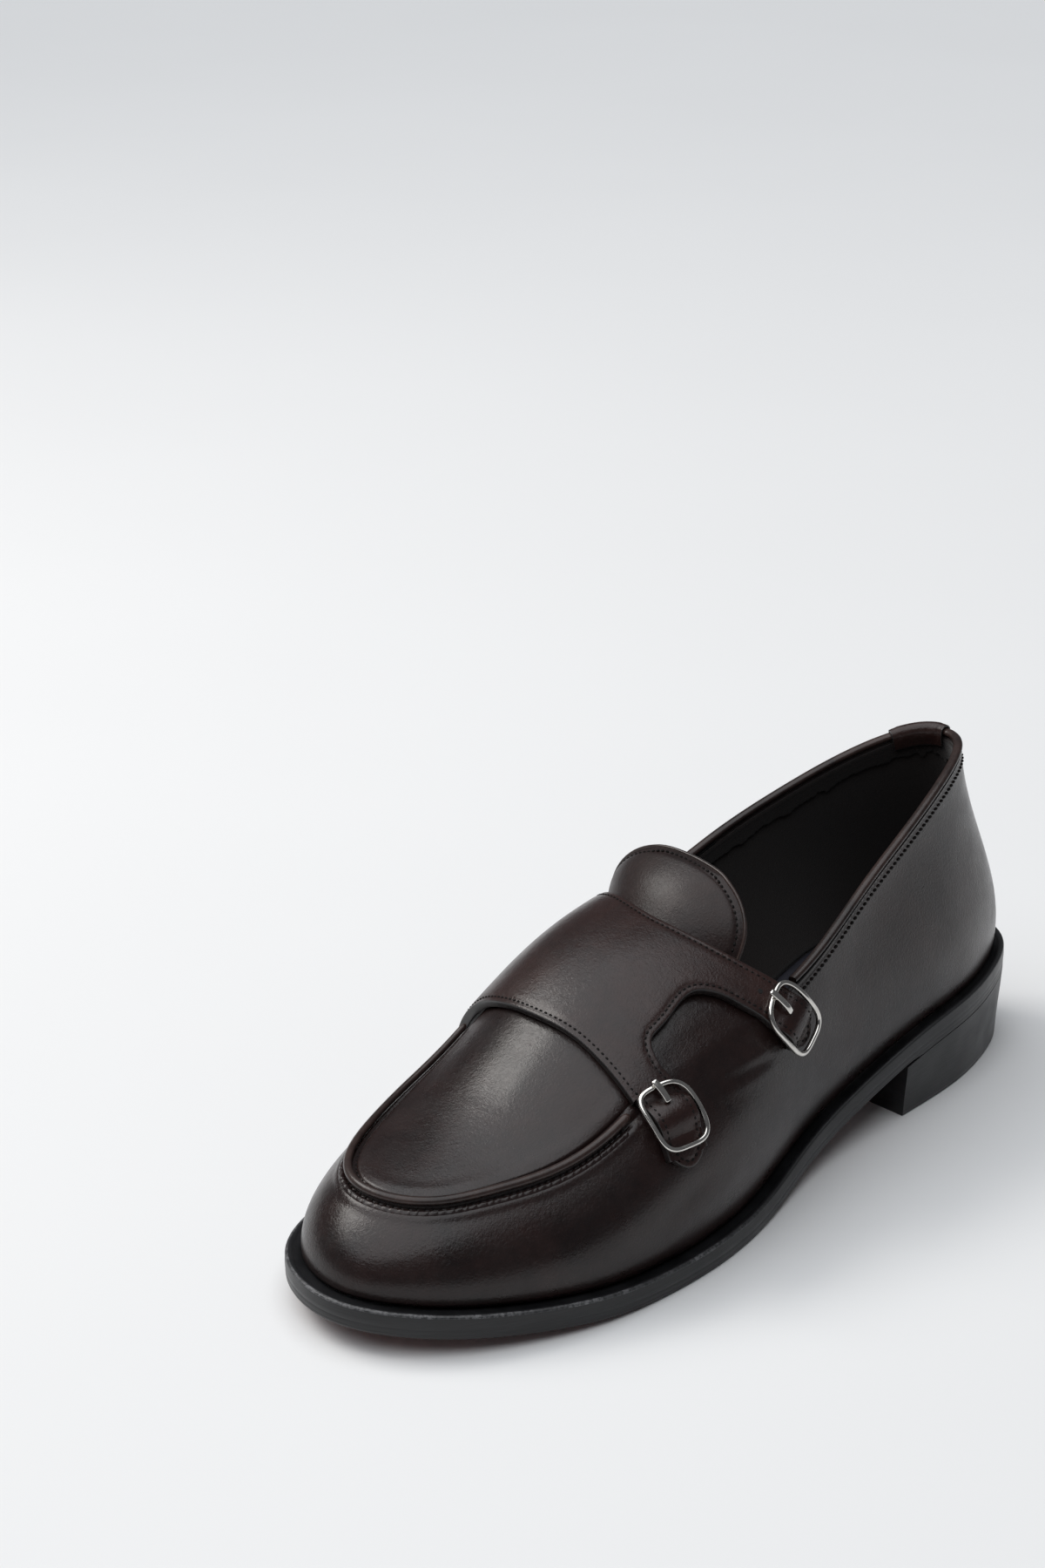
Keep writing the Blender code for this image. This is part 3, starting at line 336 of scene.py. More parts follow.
STEEL_LIGHT = (0.74, 0.72, 0.68)
FLOOR_TONE = (0.790, 0.792, 0.795)

# Camera of the photograph
CAMERA_PLACE = (0.5302, -0.5861, 0.4543)
CAMERA_RIGHT = (0.69944, 0.71467, -0.00531)
CAMERA_UP = (-0.27202, 0.27309, 0.92272)
CAMERA_BACK = (0.66090, -0.64394, 0.38542)
CAMERA_LENS = 67.63
CAMERA_SENSOR = 36.0
CAMERA_NEAR = 0.02
CAMERA_FAR = 40.0

# Lights
OVERHEAD_PLACE = (-0.25, -0.40, 1.75)
OVERHEAD_TARGET = (0.0, 0.0, 0.0)
OVERHEAD_TONE = (0.95, 0.975, 1.0)
SOFTBOX_PLACE = (-1.02, -0.52, 1.20)
SOFTBOX_TARGET = (0.0, -0.07, 0.05)
SOFTBOX_TONE = (1.0, 0.96, 0.91)
SOFTBOX_SIZE = (0.85, 0.60)
SKY_TONE = (0.93, 0.95, 1.0)

SMALL = 1e-3
MM = 1e-3


class LoaferMesh(bpy.types.PropertyGroup):
    """Fineness of the leather."""
    columns: bpy.props.IntProperty(
        name="Columns", description="Steps around the upper and the sole", default=400, min=80)
    wall_rows: bpy.props.IntProperty(
        name="Wall rows", description="Rows from the sole to the top line", default=56, min=8)
    crown_columns: bpy.props.IntProperty(
        name="Apron columns", description="Steps across the apron", default=84, min=8)
    strap_rows: bpy.props.IntProperty(
        name="Strap rows", description="Rows across the strap, from its heel side to its toe side",
        default=96, min=16)
    strap_steps: bpy.props.IntProperty(
        name="Window steps", description="Steps around the strap's window", default=84, min=16)


class LoaferLeather(bpy.types.PropertyGroup):
    """Leather grain, folds and edges."""
    grain: bpy.props.FloatProperty(
        name="Grain", description="Strength of the fine grain", default=0.30, min=0.0, max=1.0,
        subtype="FACTOR")
    folds: bpy.props.FloatProperty(
        name="Folds", description="Share of the folds' full height", default=1.0, min=0.0, max=2.0,
        subtype="FACTOR")
    edge: bpy.props.FloatProperty(
        name="Edge", description="Rounding of a cut leather edge", default=0.00035, min=0.0001, max=0.002,
        unit="LENGTH", precision=5)
    polish: bpy.props.FloatProperty(
        name="Polish", description="Weight of the polished finish", default=0.30, min=0.0, max=1.0,
        subtype="FACTOR")


class LoaferStitches(bpy.types.PropertyGroup):
    """Stitches of the strap, tongue and collar."""
    pitch: bpy.props.FloatProperty(
        name="Pitch", description="Distance from one stitch to the next", default=0.0019, min=0.0005,
        max=0.01, unit="LENGTH", precision=5)
    width: bpy.props.FloatProperty(
        name="Thread", description="Width of the thread", default=0.00068, min=0.0001, max=0.002,
        unit="LENGTH", precision=5)
    inset: bpy.props.FloatProperty(
        name="Inset", description="Distance from a leather edge to its stitches", default=STITCH_INSET,
        min=0.0005, max=0.005, unit="LENGTH", precision=5)


class LoaferStudio(bpy.types.PropertyGroup):
    """Floor and lights."""
    overhead: bpy.props.FloatProperty(
        name="Overhead", description="Strength of the broad light above", default=2.48, min=0.0)
    spread: bpy.props.FloatProperty(
        name="Overhead spread", description="Angle that the light above fills", default=math.radians(80.0),
        min=0.0, max=math.pi, subtype="ANGLE")
    softbox: bpy.props.FloatProperty(
        name="Softbox", description="Power of the smaller light on the medial side", default=10.5, min=0.0,
        unit="POWER")
    sky: bpy.props.FloatProperty(
        name="Surroundings", description="Strength of the even light from all sides", default=0.12, min=0.0)
    floor_size: bpy.props.FloatProperty(
        name="Floor size", description="Side of the square floor", default=16.0, min=1.0, unit="LENGTH")


def closed_spline(knots, values, at):
    """Cubic spline through values at knots, closed over a full turn."""
    knots = np.asarray(knots, float)
    values = np.asarray(values, float)
    count = len(knots)
    steps = np.diff(np.append(knots, knots[0] + 2 * math.pi))
    matrix = np.zeros((count, count))
    right = np.zeros(count)
    for i in range(count):
        before = (i - 1) % count
        after = (i + 1) % count
        matrix[i, before] += steps[before]
        matrix[i, i] += 2 * (steps[before] + steps[i])
        matrix[i, after] += steps[i]
        slope_after = (values[after] - values[i]) / steps[i]
        slope_before = (values[i] - values[before]) / steps[before]
        right[i] = 6 * (slope_after - slope_before)
    bends = np.linalg.solve(matrix, right)
    at = np.mod(np.asarray(at, float) - knots[0], 2 * math.pi) + knots[0]
    i = np.clip(np.searchsorted(knots, at, side="right") - 1, 0, count - 1)
    after = (i + 1) % count
    return spline_piece(at - knots[i], steps[i], values[i], values[after], bends[i], bends[after])


def open_spline(knots, values, at):
    """Natural cubic spline through values at knots, held level past its ends."""
    knots = np.asarray(knots, float)
    values = np.asarray(values, float)
    count = len(knots)
    steps = np.diff(knots)
    matrix = np.eye(count)
    right = np.zeros(count)
    for i in range(1, count - 1):
        matrix[i, i - 1:i + 2] = (steps[i - 1], 2 * (steps[i - 1] + steps[i]), steps[i])
        slope_after = (values[i + 1] - values[i]) / steps[i]
        slope_before = (values[i] - values[i - 1]) / steps[i - 1]
        right[i] = 6 * (slope_after - slope_before)
    bends = np.linalg.solve(matrix, right)
    at = np.clip(np.asarray(at, float), knots[0], knots[-1])
    i = np.clip(np.searchsorted(knots, at, side="right") - 1, 0, count - 2)
    return spline_piece(at - knots[i], steps[i], values[i], values[i + 1], bends[i], bends[i + 1])


def spline_piece(inside, step, first, second, bend_first, bend_second):
    """One cubic piece of a spline, at the distance inside it."""
    rest = step - inside
    cubic = (bend_first * rest ** 3 + bend_second * inside ** 3) / (6 * step)
    line_first = (first / step - bend_first * step / 6) * rest
    line_second = (second / step - bend_second * step / 6) * inside
    return cubic + line_first + line_second


def around(table, lateral, medial, back, toe, angle):
    """A value around the shoe from a table of the two sides and its two end values."""
    turn = np.arccos(1 - 2 * np.asarray(table["along"]))
    knots = np.concatenate(([0.0], turn, [math.pi], 2 * math.pi - turn[::-1]))
    values = np.concatenate(([back], lateral, [toe], np.asarray(medial)[::-1]))
    return closed_spline(knots, values, angle)


def side_value(table, name, angle):
    """A column of a two-sided table whose rows run from the heel to the toe."""
    along = share_along(angle)
    lateral = open_spline(table["along"], table["lateral_" + name], along)
    medial = open_spline(table["along"], table["medial_" + name], along)
    blend = 0.5 - 0.5 * np.sin(angle)
    return lateral * (1 - blend) + medial * blend


def share_along(angle):
    """Share of the length, from the heel to the toe, at an angle around the shoe."""
    return (1 - np.cos(angle)) / 2


def unit(vectors):
    """The same directions with a length of one."""
    return vectors / np.linalg.norm(vectors, axis=-1)[..., None]


def turn_at(share):
    """Angle on the lateral side at a share of the length."""
    return math.acos(1 - 2 * share)


def running(steps):
    """Running length along a line, from its steps."""
    return np.concatenate(([0.0], np.cumsum(steps)))


def leg_lengths(line):
    """Lengths of a line's legs."""
    return np.linalg.norm(np.diff(line, axis=0), axis=1)


def read_line(at, length, line):
    """Values of a line's three columns at given lengths along it."""
    return np.stack([np.interp(at, length, line[:, k]) for k in range(3)], -1)


def nearest(points, places):
    """Distance from each point to the nearest of some places."""
    distance = np.full(len(points), np.inf)
    for place in places:
        distance = np.minimum(distance, np.linalg.norm(points - place, axis=1))
    return distance


def smooth(value, low, high):
    """Soft step that is 0 at the low value and 1 at the high one."""
    t = np.clip((value - low) / (high - low), 0.0, 1.0)
    return t * t * (3 - 2 * t)


def bump_at(value, middle, width):
    """Bell curve of height one."""
    return np.exp(-((value - middle) / width) ** 2)


def bumps(rows, value):
    """Sum of bell curves, each given as (height, middle, width)."""
    return sum(height * bump_at(value, middle, width) for height, middle, width in rows)


def outline_point(angle, inset):
    """Plan position on the sole's edge, moved inwards by the inset."""
    lateral = np.asarray(OUTLINE["lateral"])
    medial = -np.asarray(OUTLINE["medial"])

    def edge(turn):
        share = around(OUTLINE, lateral, medial, HEEL_SHIFT, TOE_SHIFT, turn)
        return np.stack((share * BALL_WIDTH + SIDE_SHIFT, np.cos(turn) * SHOE_LENGTH / 2), -1)

    tangent = edge(angle + SMALL) - edge(angle - SMALL)
    outward = unit(np.stack((-tangent[..., 1], tangent[..., 0]), -1))
    return edge(angle) - outward * np.asarray(inset)[..., None], outward


def underside(along):
    """Height of the sole's underside."""
    heel = open_spline(UNDERSIDE["along"], UNDERSIDE["heel"], along)
    toe = open_spline(UNDERSIDE["along"], UNDERSIDE["toe"], along)
    height = heel * HEEL_HEIGHT + toe * TOE_SPRING
    flat = (np.asarray(along) >= FLAT_FROM) & (np.asarray(along) <= FLAT_TO)
    return np.where(flat, 0.0, np.maximum(height, 0.0))


def share_at(y):
    """Share of the length at a place along the shoe."""
    return np.clip(0.5 - y / SHOE_LENGTH, 0.0, 1.0)


def sole_top(y):
    """Height of the sole's upper face."""
    return underside(share_at(y)) + SOLE_EDGE


def feather(angle):
    """Foot of the upper's outer face, on the sole."""
    welt = WELT_BACK + (WELT_FRONT - WELT_BACK) * smooth(share_along(angle), WELT_FROM, WELT_TO)
    plan, outward = outline_point(angle, welt)
    height = sole_top(plan[..., 1]) + GAP
    return np.concatenate((plan, height[..., None]), -1), outward


def top_line(angle):
    """Collar and apron seam, around the shoe."""
    lateral = np.asarray(TOP_LINE["lateral"])
    medial = -np.asarray(TOP_LINE["medial"])
    x = around(TOP_LINE, lateral, medial, TOP_BACK_SHIFT, TOP_TOE_SHIFT, angle) * BALL_WIDTH + SIDE_SHIFT
    z = around(TOP_LINE, TOP_LINE["lateral_height"], TOP_LINE["medial_height"],
               TOP_BACK_HEIGHT, TOP_TOE_HEIGHT, angle) * COLLAR_HEIGHT
    along = TOP_BACK + (TOP_TOE - TOP_BACK) * share_along(angle)
    y = SHOE_LENGTH * (0.5 - along)
    return np.stack((x, y, z), -1)


def wall_point(angle, t):
    """Outer face of the wall: t is 0 at the feather edge and 1 at the top line."""
    foot, outward = feather(angle)
    top = top_line(angle)
    rise = (top - foot)[..., 2:3]
    out = np.concatenate((outward, np.zeros(outward.shape[:-1] + (1,))), -1)
    up = np.array((0.0, 0.0, 1.0))

    def handle(name):
        return side_value(WALL_CURVE, name, angle)[..., None] * rise

    low = foot + out * handle("low_out") + up * handle("low_up")
    high = top + out * handle("high_out") - up * handle("high_down")
    t = np.asarray(t)[..., None]
    s = 1 - t
    return s ** 3 * foot + 3 * s * s * t * low + 3 * s * t * t * high + t ** 3 * top


def crown_point(angle, across):
    """Outer face over the apron and instep: across runs from the lateral to the medial top line."""
    lateral = top_line(angle)
    medial = top_line(2 * math.pi - angle)
    across = np.asarray(across)[..., None]
    share = share_along(angle)
    height = open_spline(CROWN["along"], CROWN["height"], share) * CROWN_HEIGHT
    half = np.linalg.norm((lateral - medial)[..., :2], axis=-1) / 2
    rise = (height * (half / (BALL_WIDTH * APRON_HALF)) ** 2)[..., None]
    point = lateral * (1 - across) + medial * across
    side = 2 * across - 1
    lateral_power = open_spline(CROWN["along"], CROWN["lateral_power"], share)[..., None]
    medial_power = open_spline(CROWN["along"], CROWN["medial_power"], share)[..., None]
    power = np.where(side < 0, lateral_power, medial_power)
    return point + np.array((0.0, 0.0, 1.0)) * rise * (1 - np.abs(side) ** power)


def crown_at(x, y):
    """Place on the crown over a point of the plan."""
    share = ((0.5 - y / SHOE_LENGTH) - TOP_BACK) / (TOP_TOE - TOP_BACK)
    angle = np.arccos(np.clip(1 - 2 * share, -1.0, 1.0))
    lateral = top_line(angle)[..., 0]
    medial = top_line(2 * math.pi - angle)[..., 0]
    across = np.clip((lateral - x) / (lateral - medial), 0.0, 1.0)
    return crown_point(angle, across)


def arch_table():
    """Smoothed cross-sections over the instep, the surface that the strap lies on."""
    shares = np.linspace(ARCH_FROM, ARCH_TO, ARCH_ROWS)
    girths = np.linspace(-ARCH_GIRTH, ARCH_GIRTH, ARCH_COLUMNS)
    rows = []
    for share in shares:
        angle = turn_at(share)
        rise = np.linspace(ARCH_FOOT, 1.0, ARCH_STEPS + 1)
        turn = np.full(ARCH_STEPS + 1, angle)
        lateral = wall_point(turn, rise)
        medial = wall_point(2 * math.pi - turn, rise)[::-1]
        crown = crown_point(turn, np.linspace(0.0, 1.0, ARCH_STEPS + 1))
        line = np.concatenate((lateral[:-1], crown, medial[1:]))
        length = running(leg_lengths(line))
        length -= length[ARCH_STEPS * 3 // 2]
        at = np.linspace(length[0], length[-1], ARCH_EVEN)
        soft = soften(read_line(at, length, line), at[1] - at[0])
        rows.append(read_line(-girths, at, soft))
    return shares, girths, np.array(rows)


def soften(line, step):
    """Rounds a cross-section's corners with a sliding average."""
    reach = int(round(ARCH_SOFT / step))
    weights = 0.5 + 0.5 * np.cos(np.linspace(-math.pi, math.pi, 2 * reach + 1))
    weights /= weights.sum()
    start = 2 * line[0] - line[reach:0:-1]
    end = 2 * line[-1] - line[-2:-reach - 2:-1]
    long = np.concatenate((start, line, end))
    return np.stack([np.convolve(long[:, k], weights, "valid") for k in range(3)], -1)


ARCH = arch_table()


def instep(share, girth):
    """Point and outward direction on the instep: girth is measured from its middle, lateral positive."""
    shares, girths, rows = ARCH
    row = (np.asarray(share) - shares[0]) / (shares[1] - shares[0])
    column = (np.asarray(girth) - girths[0]) / (girths[1] - girths[0])
    row = np.clip(row, 2.0, len(shares) - 4.001)
    column = np.clip(column, 2.0, len(girths) - 4.001)
    point = table_value(rows, row, column)
    ahead = table_value(rows, row + 0.5, column) - table_value(rows, row - 0.5, column)
    side = table_value(rows, row, column + 0.5) - table_value(rows, row, column - 0.5)
    return point, unit(np.cross(ahead, side))


def table_value(rows, row, column):
    """Smooth value between the sixteen nearest entries of a table."""
    i = np.floor(row).astype(int)
    j = np.floor(column).astype(int)
    by_row = cubic_weights(row - i)
    by_column = cubic_weights(column - j)
    value = 0.0
    for a in range(4):
        for b in range(4):
            weight = by_row[a] * by_column[b]
            value = value + rows[i + a - 1, j + b - 1] * weight[..., None]
    return value


def cubic_weights(t):
    """Weights of four neighbours for a smooth curve through the middle two."""
    return (-0.5 * t + t ** 2 - 0.5 * t ** 3, 1 - 2.5 * t ** 2 + 1.5 * t ** 3,
            0.5 * t + 2 * t ** 2 - 1.5 * t ** 3, -0.5 * t ** 2 + 0.5 * t ** 3)


def on_instep(share, girth, lift):
    """Place above the instep."""
    point, outward = instep(share, girth)
    return point + outward * np.asarray(lift)[..., None]


def grid_normals(grid, closed):
    """Outward directions of a grid whose rows go around the shoe and columns go up."""
    along = np.roll(grid, -1, 0) - np.roll(grid, 1, 0) if closed else np.gradient(grid, axis=0)
    return unit(np.cross(np.gradient(grid, axis=1), along))


def fold_path(fold):
    """Places in space along a fold."""
    given = np.array(fold["path"])
    at = np.linspace(0.0, len(given) - 1.0, FOLD_STEPS)
    knots = np.arange(len(given))
    angle = open_spline(knots, given[:, 0], at)
    share = open_spline(knots, given[:, 1], at)
    return wall_point(angle, share) if fold["on"] == "wall" else crown_point(angle, share)


def fold_height(points, strength):
    """Rise of the soft folds at the given places."""
    flat = points.reshape(-1, 3)
    total = np.zeros(len(flat))
    for fold in FOLDS:
        path = fold_path(fold)
        best = np.full(len(flat), np.inf)
        place = np.zeros(len(flat))
        pieces = len(path) - 1
        for k in range(pieces):
            leg = path[k + 1] - path[k]
            t = np.clip((flat - path[k]) @ leg / (leg @ leg), 0.0, 1.0)
            gap = np.linalg.norm(flat - path[k] - t[:, None] * leg, axis=1)
            closer = gap < best
            best = np.where(closer, gap, best)
            place = np.where(closer, (k + t) / pieces, place)
        fade = np.sin(math.pi * np.clip(place, 0.0, 1.0)) ** 0.6
        total += fold["height"] * MM * fade * bump_at(best, 0.0, fold["width"] * MM)
    return (total * strength).reshape(points.shape[:-1])


def wall_trim(down, angle):
    """Rise of the wall near the top line: a recess under the piping, a bound edge at the collar."""
    share = share_along(angle)
    apron = smooth(share, *PIPING_SPAN)
    collar = 1 - smooth(share, *COLLAR_SPAN)
    return apron * bumps(PIPING_RECESS, down) + collar * bumps(COLLAR_RECESS, down)


def crown_trim(distance):
    """Rise of the apron near its seam."""
    return bumps(APRON_RECESS, distance)


def below_seam(angle, down):
    """Place and outward direction on the wall, a distance below the top line."""
    angle = np.asarray(angle, float)
    down = np.broadcast_to(np.asarray(down, float), angle.shape)
    steps = np.linspace(0.0, 1.0, 25)
    turns = np.repeat(angle[..., None], len(steps), -1)
    column = wall_point(turns, np.broadcast_to(steps, turns.shape))
    length = np.linalg.norm(np.diff(column, axis=-2), axis=-1).sum(-1)
    t = 1 - down / length
    point = wall_point(angle, t)
    ahead = wall_point(angle + SMALL, t) - wall_point(angle - SMALL, t)
    up = wall_point(angle, t + SMALL) - wall_point(angle, t - SMALL)
    outward = unit(np.cross(up, ahead))
    return point + outward * wall_trim(down, angle)[..., None], outward


def inside_seam(angle, distance):
    """Place and outward direction on the apron, a distance inside its seam."""
    seam = top_line(angle)[:, :2]
    ahead = unit(top_line(angle + SMALL)[:, :2] - top_line(angle - SMALL)[:, :2])
    inward = np.stack((ahead[:, 1], -ahead[:, 0]), -1)
    plan = seam + inward * distance
    step = 5e-4
    point = crown_at(plan[:, 0], plan[:, 1])
    by_x = crown_at(plan[:, 0] + step, plan[:, 1]) - crown_at(plan[:, 0] - step, plan[:, 1])
    by_y = crown_at(plan[:, 0], plan[:, 1] + step) - crown_at(plan[:, 0], plan[:, 1] - step)
    outward = unit(np.cross(by_x, by_y))
    return point + outward * crown_trim(distance), outward


def seam_frame(angle):
    """Top line with its outward direction, between the wall's and the crown's."""
    near = 0.02
    ahead = top_line(angle + SMALL) - top_line(angle - SMALL)
    lateral = np.where(angle <= math.pi, angle, 2 * math.pi - angle)
    across = np.where(angle <= math.pi, near, 1 - near)
    inner = crown_point(lateral, across)
    outer = wall_point(angle, np.full(len(angle), 1 - near))
    outward = unit(np.cross(ahead, outer - inner))
    outward *= np.sign(outward[:, 2:3])
    return top_line(angle), outward


def rim_frame(angle):
    """Middle of the collar's rim, its upward direction and its outward direction."""
    top = top_line(angle)
    below = wall_point(angle, np.full(len(angle), 0.93))
    up = unit(top - below)
    ahead = unit(top_line(angle + SMALL) - top_line(angle - SMALL))
    outward = np.cross(up, ahead)
    up = np.cross(ahead, outward)
    return top - outward * WALL / 2, up, outward


def seam_angles(count, short=0.0):
    """Angles along the apron seam, from the strap around the toe to the strap."""
    return np.linspace(turn_at(PIPING_ENDS[0] + short), 2 * math.pi - turn_at(PIPING_ENDS[1] + short), count)


def collar_angles(count):
    """Angles along the collar, from the medial side around the heel to the lateral side."""
    return np.linspace(-turn_at(BINDING_ENDS[1]), turn_at(BINDING_ENDS[0]), count)


def edge_points(table, count):
    """Even places along an edge table, as (share, girth in metres)."""
    share = np.asarray(table["share"])
    girth = np.asarray(table["girth"]) * MM
    length = running(np.hypot(np.diff(share) * SHOE_LENGTH, np.diff(girth)))
    at = np.linspace(0.0, length[-1], count)
    return np.stack((open_spline(length, share, at), open_spline(length, girth, at)), -1)


def buckle_place(which):
    """Function from a buckle's own axes (along its strap, across, up) to space."""
    share = BUCKLES["share"][which]
    girth = BUCKLES["girth"][which]
    tilt = math.radians(BUCKLES["tilt"][which])
    by_share = (instep(share + SMALL, girth)[0] - instep(share - SMALL, girth)[0]) / (2 * SMALL)
    by_girth = (instep(share, girth + SMALL)[0] - instep(share, girth - SMALL)[0]) / (2 * SMALL)
    down = unit(by_girth)
    back = unit(-by_share + down * np.dot(by_share, down))
    along = down * math.cos(tilt) + back * math.sin(tilt)
    across = back * math.cos(tilt) - down * math.sin(tilt)
    inverse = np.linalg.pinv(np.stack((by_share, by_girth), 1))

    def place(s, w, lift):
        s = np.asarray(s, float)
        w = np.asarray(w, float)
        moved = s[..., None] * along + w[..., None] * across
        shift = moved @ inverse.T
        return on_instep(share + shift[..., 0], girth + shift[..., 1], lift)

    return place


def dome(s):
    """Rise of the strap over the buckle's bar."""
    near = np.clip(np.abs(s) / DOME_LENGTH, 0.0, 1.0)
    return DOME_HEIGHT * (0.5 + 0.5 * np.cos(math.pi * near))


def grid_faces(rows, count, flip=False):
    """Faces of a grid given row by row, with as many places in each row as the count."""
    faces = []
    for row in range(rows - 1):
        for k in range(count - 1):
            a = row * count + k
            face = (a, a + 1, a + count + 1, a + count)
            faces.append(face[:1] + face[:0:-1] if flip else face)
    return faces


def open_mesh(points, faces):
    """Arrays of a leather sheet: places, faces, outward directions and its boundary loop."""
    points = np.asarray(points, float)
    normals = np.zeros_like(points)
    edges = {}
    for face in faces:
        a, b, c = points[face[0]], points[face[1]], points[face[-1]]
        d = points[face[2]]
        turn = np.cross(d - a, c - b) if len(face) == 4 else np.cross(b - a, c - a)
        for k, corner in enumerate(face):
            normals[corner] += turn
            edges[(corner, face[(k + 1) % len(face)])] = True
    following = {a: b for a, b in edges if (b, a) not in edges}
    start = next(iter(following))
    loop = [start]
    while following[loop[-1]] != start:
        loop.append(following[loop[-1]])
    return points, faces, unit(normals), loop


def edge_distance(points, line):
    """Shortest distance from each place to a closed line."""
    ends = np.roll(line, -1, 0)
    best = np.full(len(points), np.inf)
    for a, b in zip(line, ends):
        leg = b - a
        t = np.clip((points - a) @ leg / max(leg @ leg, 1e-12), 0.0, 1.0)
        best = np.minimum(best, np.linalg.norm(points - a - t[:, None] * leg, axis=1))
    return best


def loop_frame(points, normals, loop):
    """Places, outward directions and inward-pointing directions along a sheet's boundary."""
    line = points[loop]
    ahead = unit(np.roll(line, -1, 0) - np.roll(line, 1, 0))
    up = normals[loop]
    return line, up, unit(np.cross(up, ahead))


def leather_sheet(name, sheet, top_lift, bottom_lift, edge, materials):
    """A closed leather piece with rounded edges from an open sheet and its two faces' lifts."""
    points, faces, normals, loop = sheet
    line, up, inward = loop_frame(points, normals, loop)
    count = len(points)
    ring = len(loop)
    verts = [points + normals * top_lift[:, None], points + normals * bottom_lift[:, None]]
    top_edge = top_lift[loop]
    bottom_edge = bottom_lift[loop]
    middle = (top_edge + bottom_edge) / 2
    half = (top_edge - bottom_edge) / 2
    turns = np.linspace(90.0, -90.0, 8)[1:-1]
    for turn in turns:
        out = edge * math.cos(math.radians(turn))
        high = middle + half * math.copysign(abs(math.sin(math.radians(turn))) ** 0.45, turn)
        verts.append(line - inward * out + up * high[:, None])
    rings = [loop]
    for k in range(len(turns)):
        start = 2 * count + k * ring
        rings.append(list(range(start, start + ring)))
    rings.append([count + k for k in loop])
    made = [tuple(face) for face in faces]
    made += [tuple(count + k for k in face[::-1]) for face in faces]
    body = len(made)
    for near, far in zip(rings, rings[1:]):
        for i in range(ring):
            j = (i + 1) % ring
            made.append((near[i], far[i], far[j], near[j]))
    indices = [0] * len(faces) + [len(materials) - 1] * (body - len(faces)) + [1] * (len(made) - body)
    return new_piece(name, np.concatenate(verts), made, materials, indices)


def new_piece(name, points, faces, materials, indices=None, angle=55.0, closed=True):
    """A smooth-shaded piece that rides with the shoe."""
    mesh = bpy.data.meshes.new(name)
    mesh.from_pydata(np.asarray(points).tolist(), [], faces)
    for material in materials:
        mesh.materials.append(material)
    if indices is not None:
        mesh.polygons.foreach_set("material_index", indices)
    mesh.update()
    if closed:
        shape = bmesh.new()
        shape.from_mesh(mesh)
        bmesh.ops.recalc_face_normals(shape, faces=shape.faces[:])
        shape.to_mesh(mesh)
        shape.free()
    mesh.shade_smooth()
    mesh.set_sharp_from_angle(angle=math.radians(angle))
    piece = bpy.data.objects.new(name, mesh)
    bpy.context.scene.collection.objects.link(piece)
    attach(piece, "root")
    return piece


def sweep_mesh(path, ups, section, closed):
    """Places and faces of a bar along a path: the section is a ring of (across, up) places."""
    path = np.asarray(path)
    ahead = np.roll(path, -1, 0) - np.roll(path, 1, 0)
    if not closed:
        ahead[0] = path[1] - path[0]
        ahead[-1] = path[-1] - path[-2]
    ahead = unit(ahead)
    across = unit(np.cross(ahead, ups))
    up = np.cross(across, ahead)
    section = np.asarray(section)
    if section.ndim == 2:
        section = np.repeat(section[None], len(path), 0)
    ring = section.shape[1]
    places = path[:, None] + across[:, None] * section[..., :1] + up[:, None] * section[..., 1:]
    faces = []
    count = len(path)
    for i in range(count if closed else count - 1):
        j = (i + 1) % count
        for k in range(ring):
            m = (k + 1) % ring
            faces.append((i * ring + k, j * ring + k, j * ring + m, i * ring + m))
    if not closed:
        faces.append(tuple(range(ring)))
        faces.append(tuple(range((count - 1) * ring, count * ring))[::-1])
    return places.reshape(-1, 3), faces


def join_meshes(parts):
    """Several (places, faces) lists as one."""
    points = []
    faces = []
    start = 0
    for places, polygons in parts:
        points.append(places)
        faces += [tuple(start + k for k in face) for face in polygons]
        start += len(places)
    return np.concatenate(points), faces


def oval(width, height, sides, square=2.0):
    """Ring of an oval section; a higher square value gives flatter sides."""
    ring = []
    for k in range(sides):
        turn = 2 * math.pi * k / sides
        x = math.copysign(abs(math.cos(turn)) ** (2 / square), math.cos(turn))
        z = math.copysign(abs(math.sin(turn)) ** (2 / square), math.sin(turn))
        ring.append((x * width / 2, z * height / 2))
    return ring


def rounded_ends(section, length, path):
    """The same section at each step of an open path, drawn in at its two ends."""
    place = running(leg_lengths(path))
    near = np.minimum(place, place[-1] - place)
    size = np.sqrt(np.clip(1 - (1 - np.clip(near / length, 0.0, 1.0)) ** 2, 0.01, 1.0))
    return np.asarray(section)[None] * size[:, None, None]


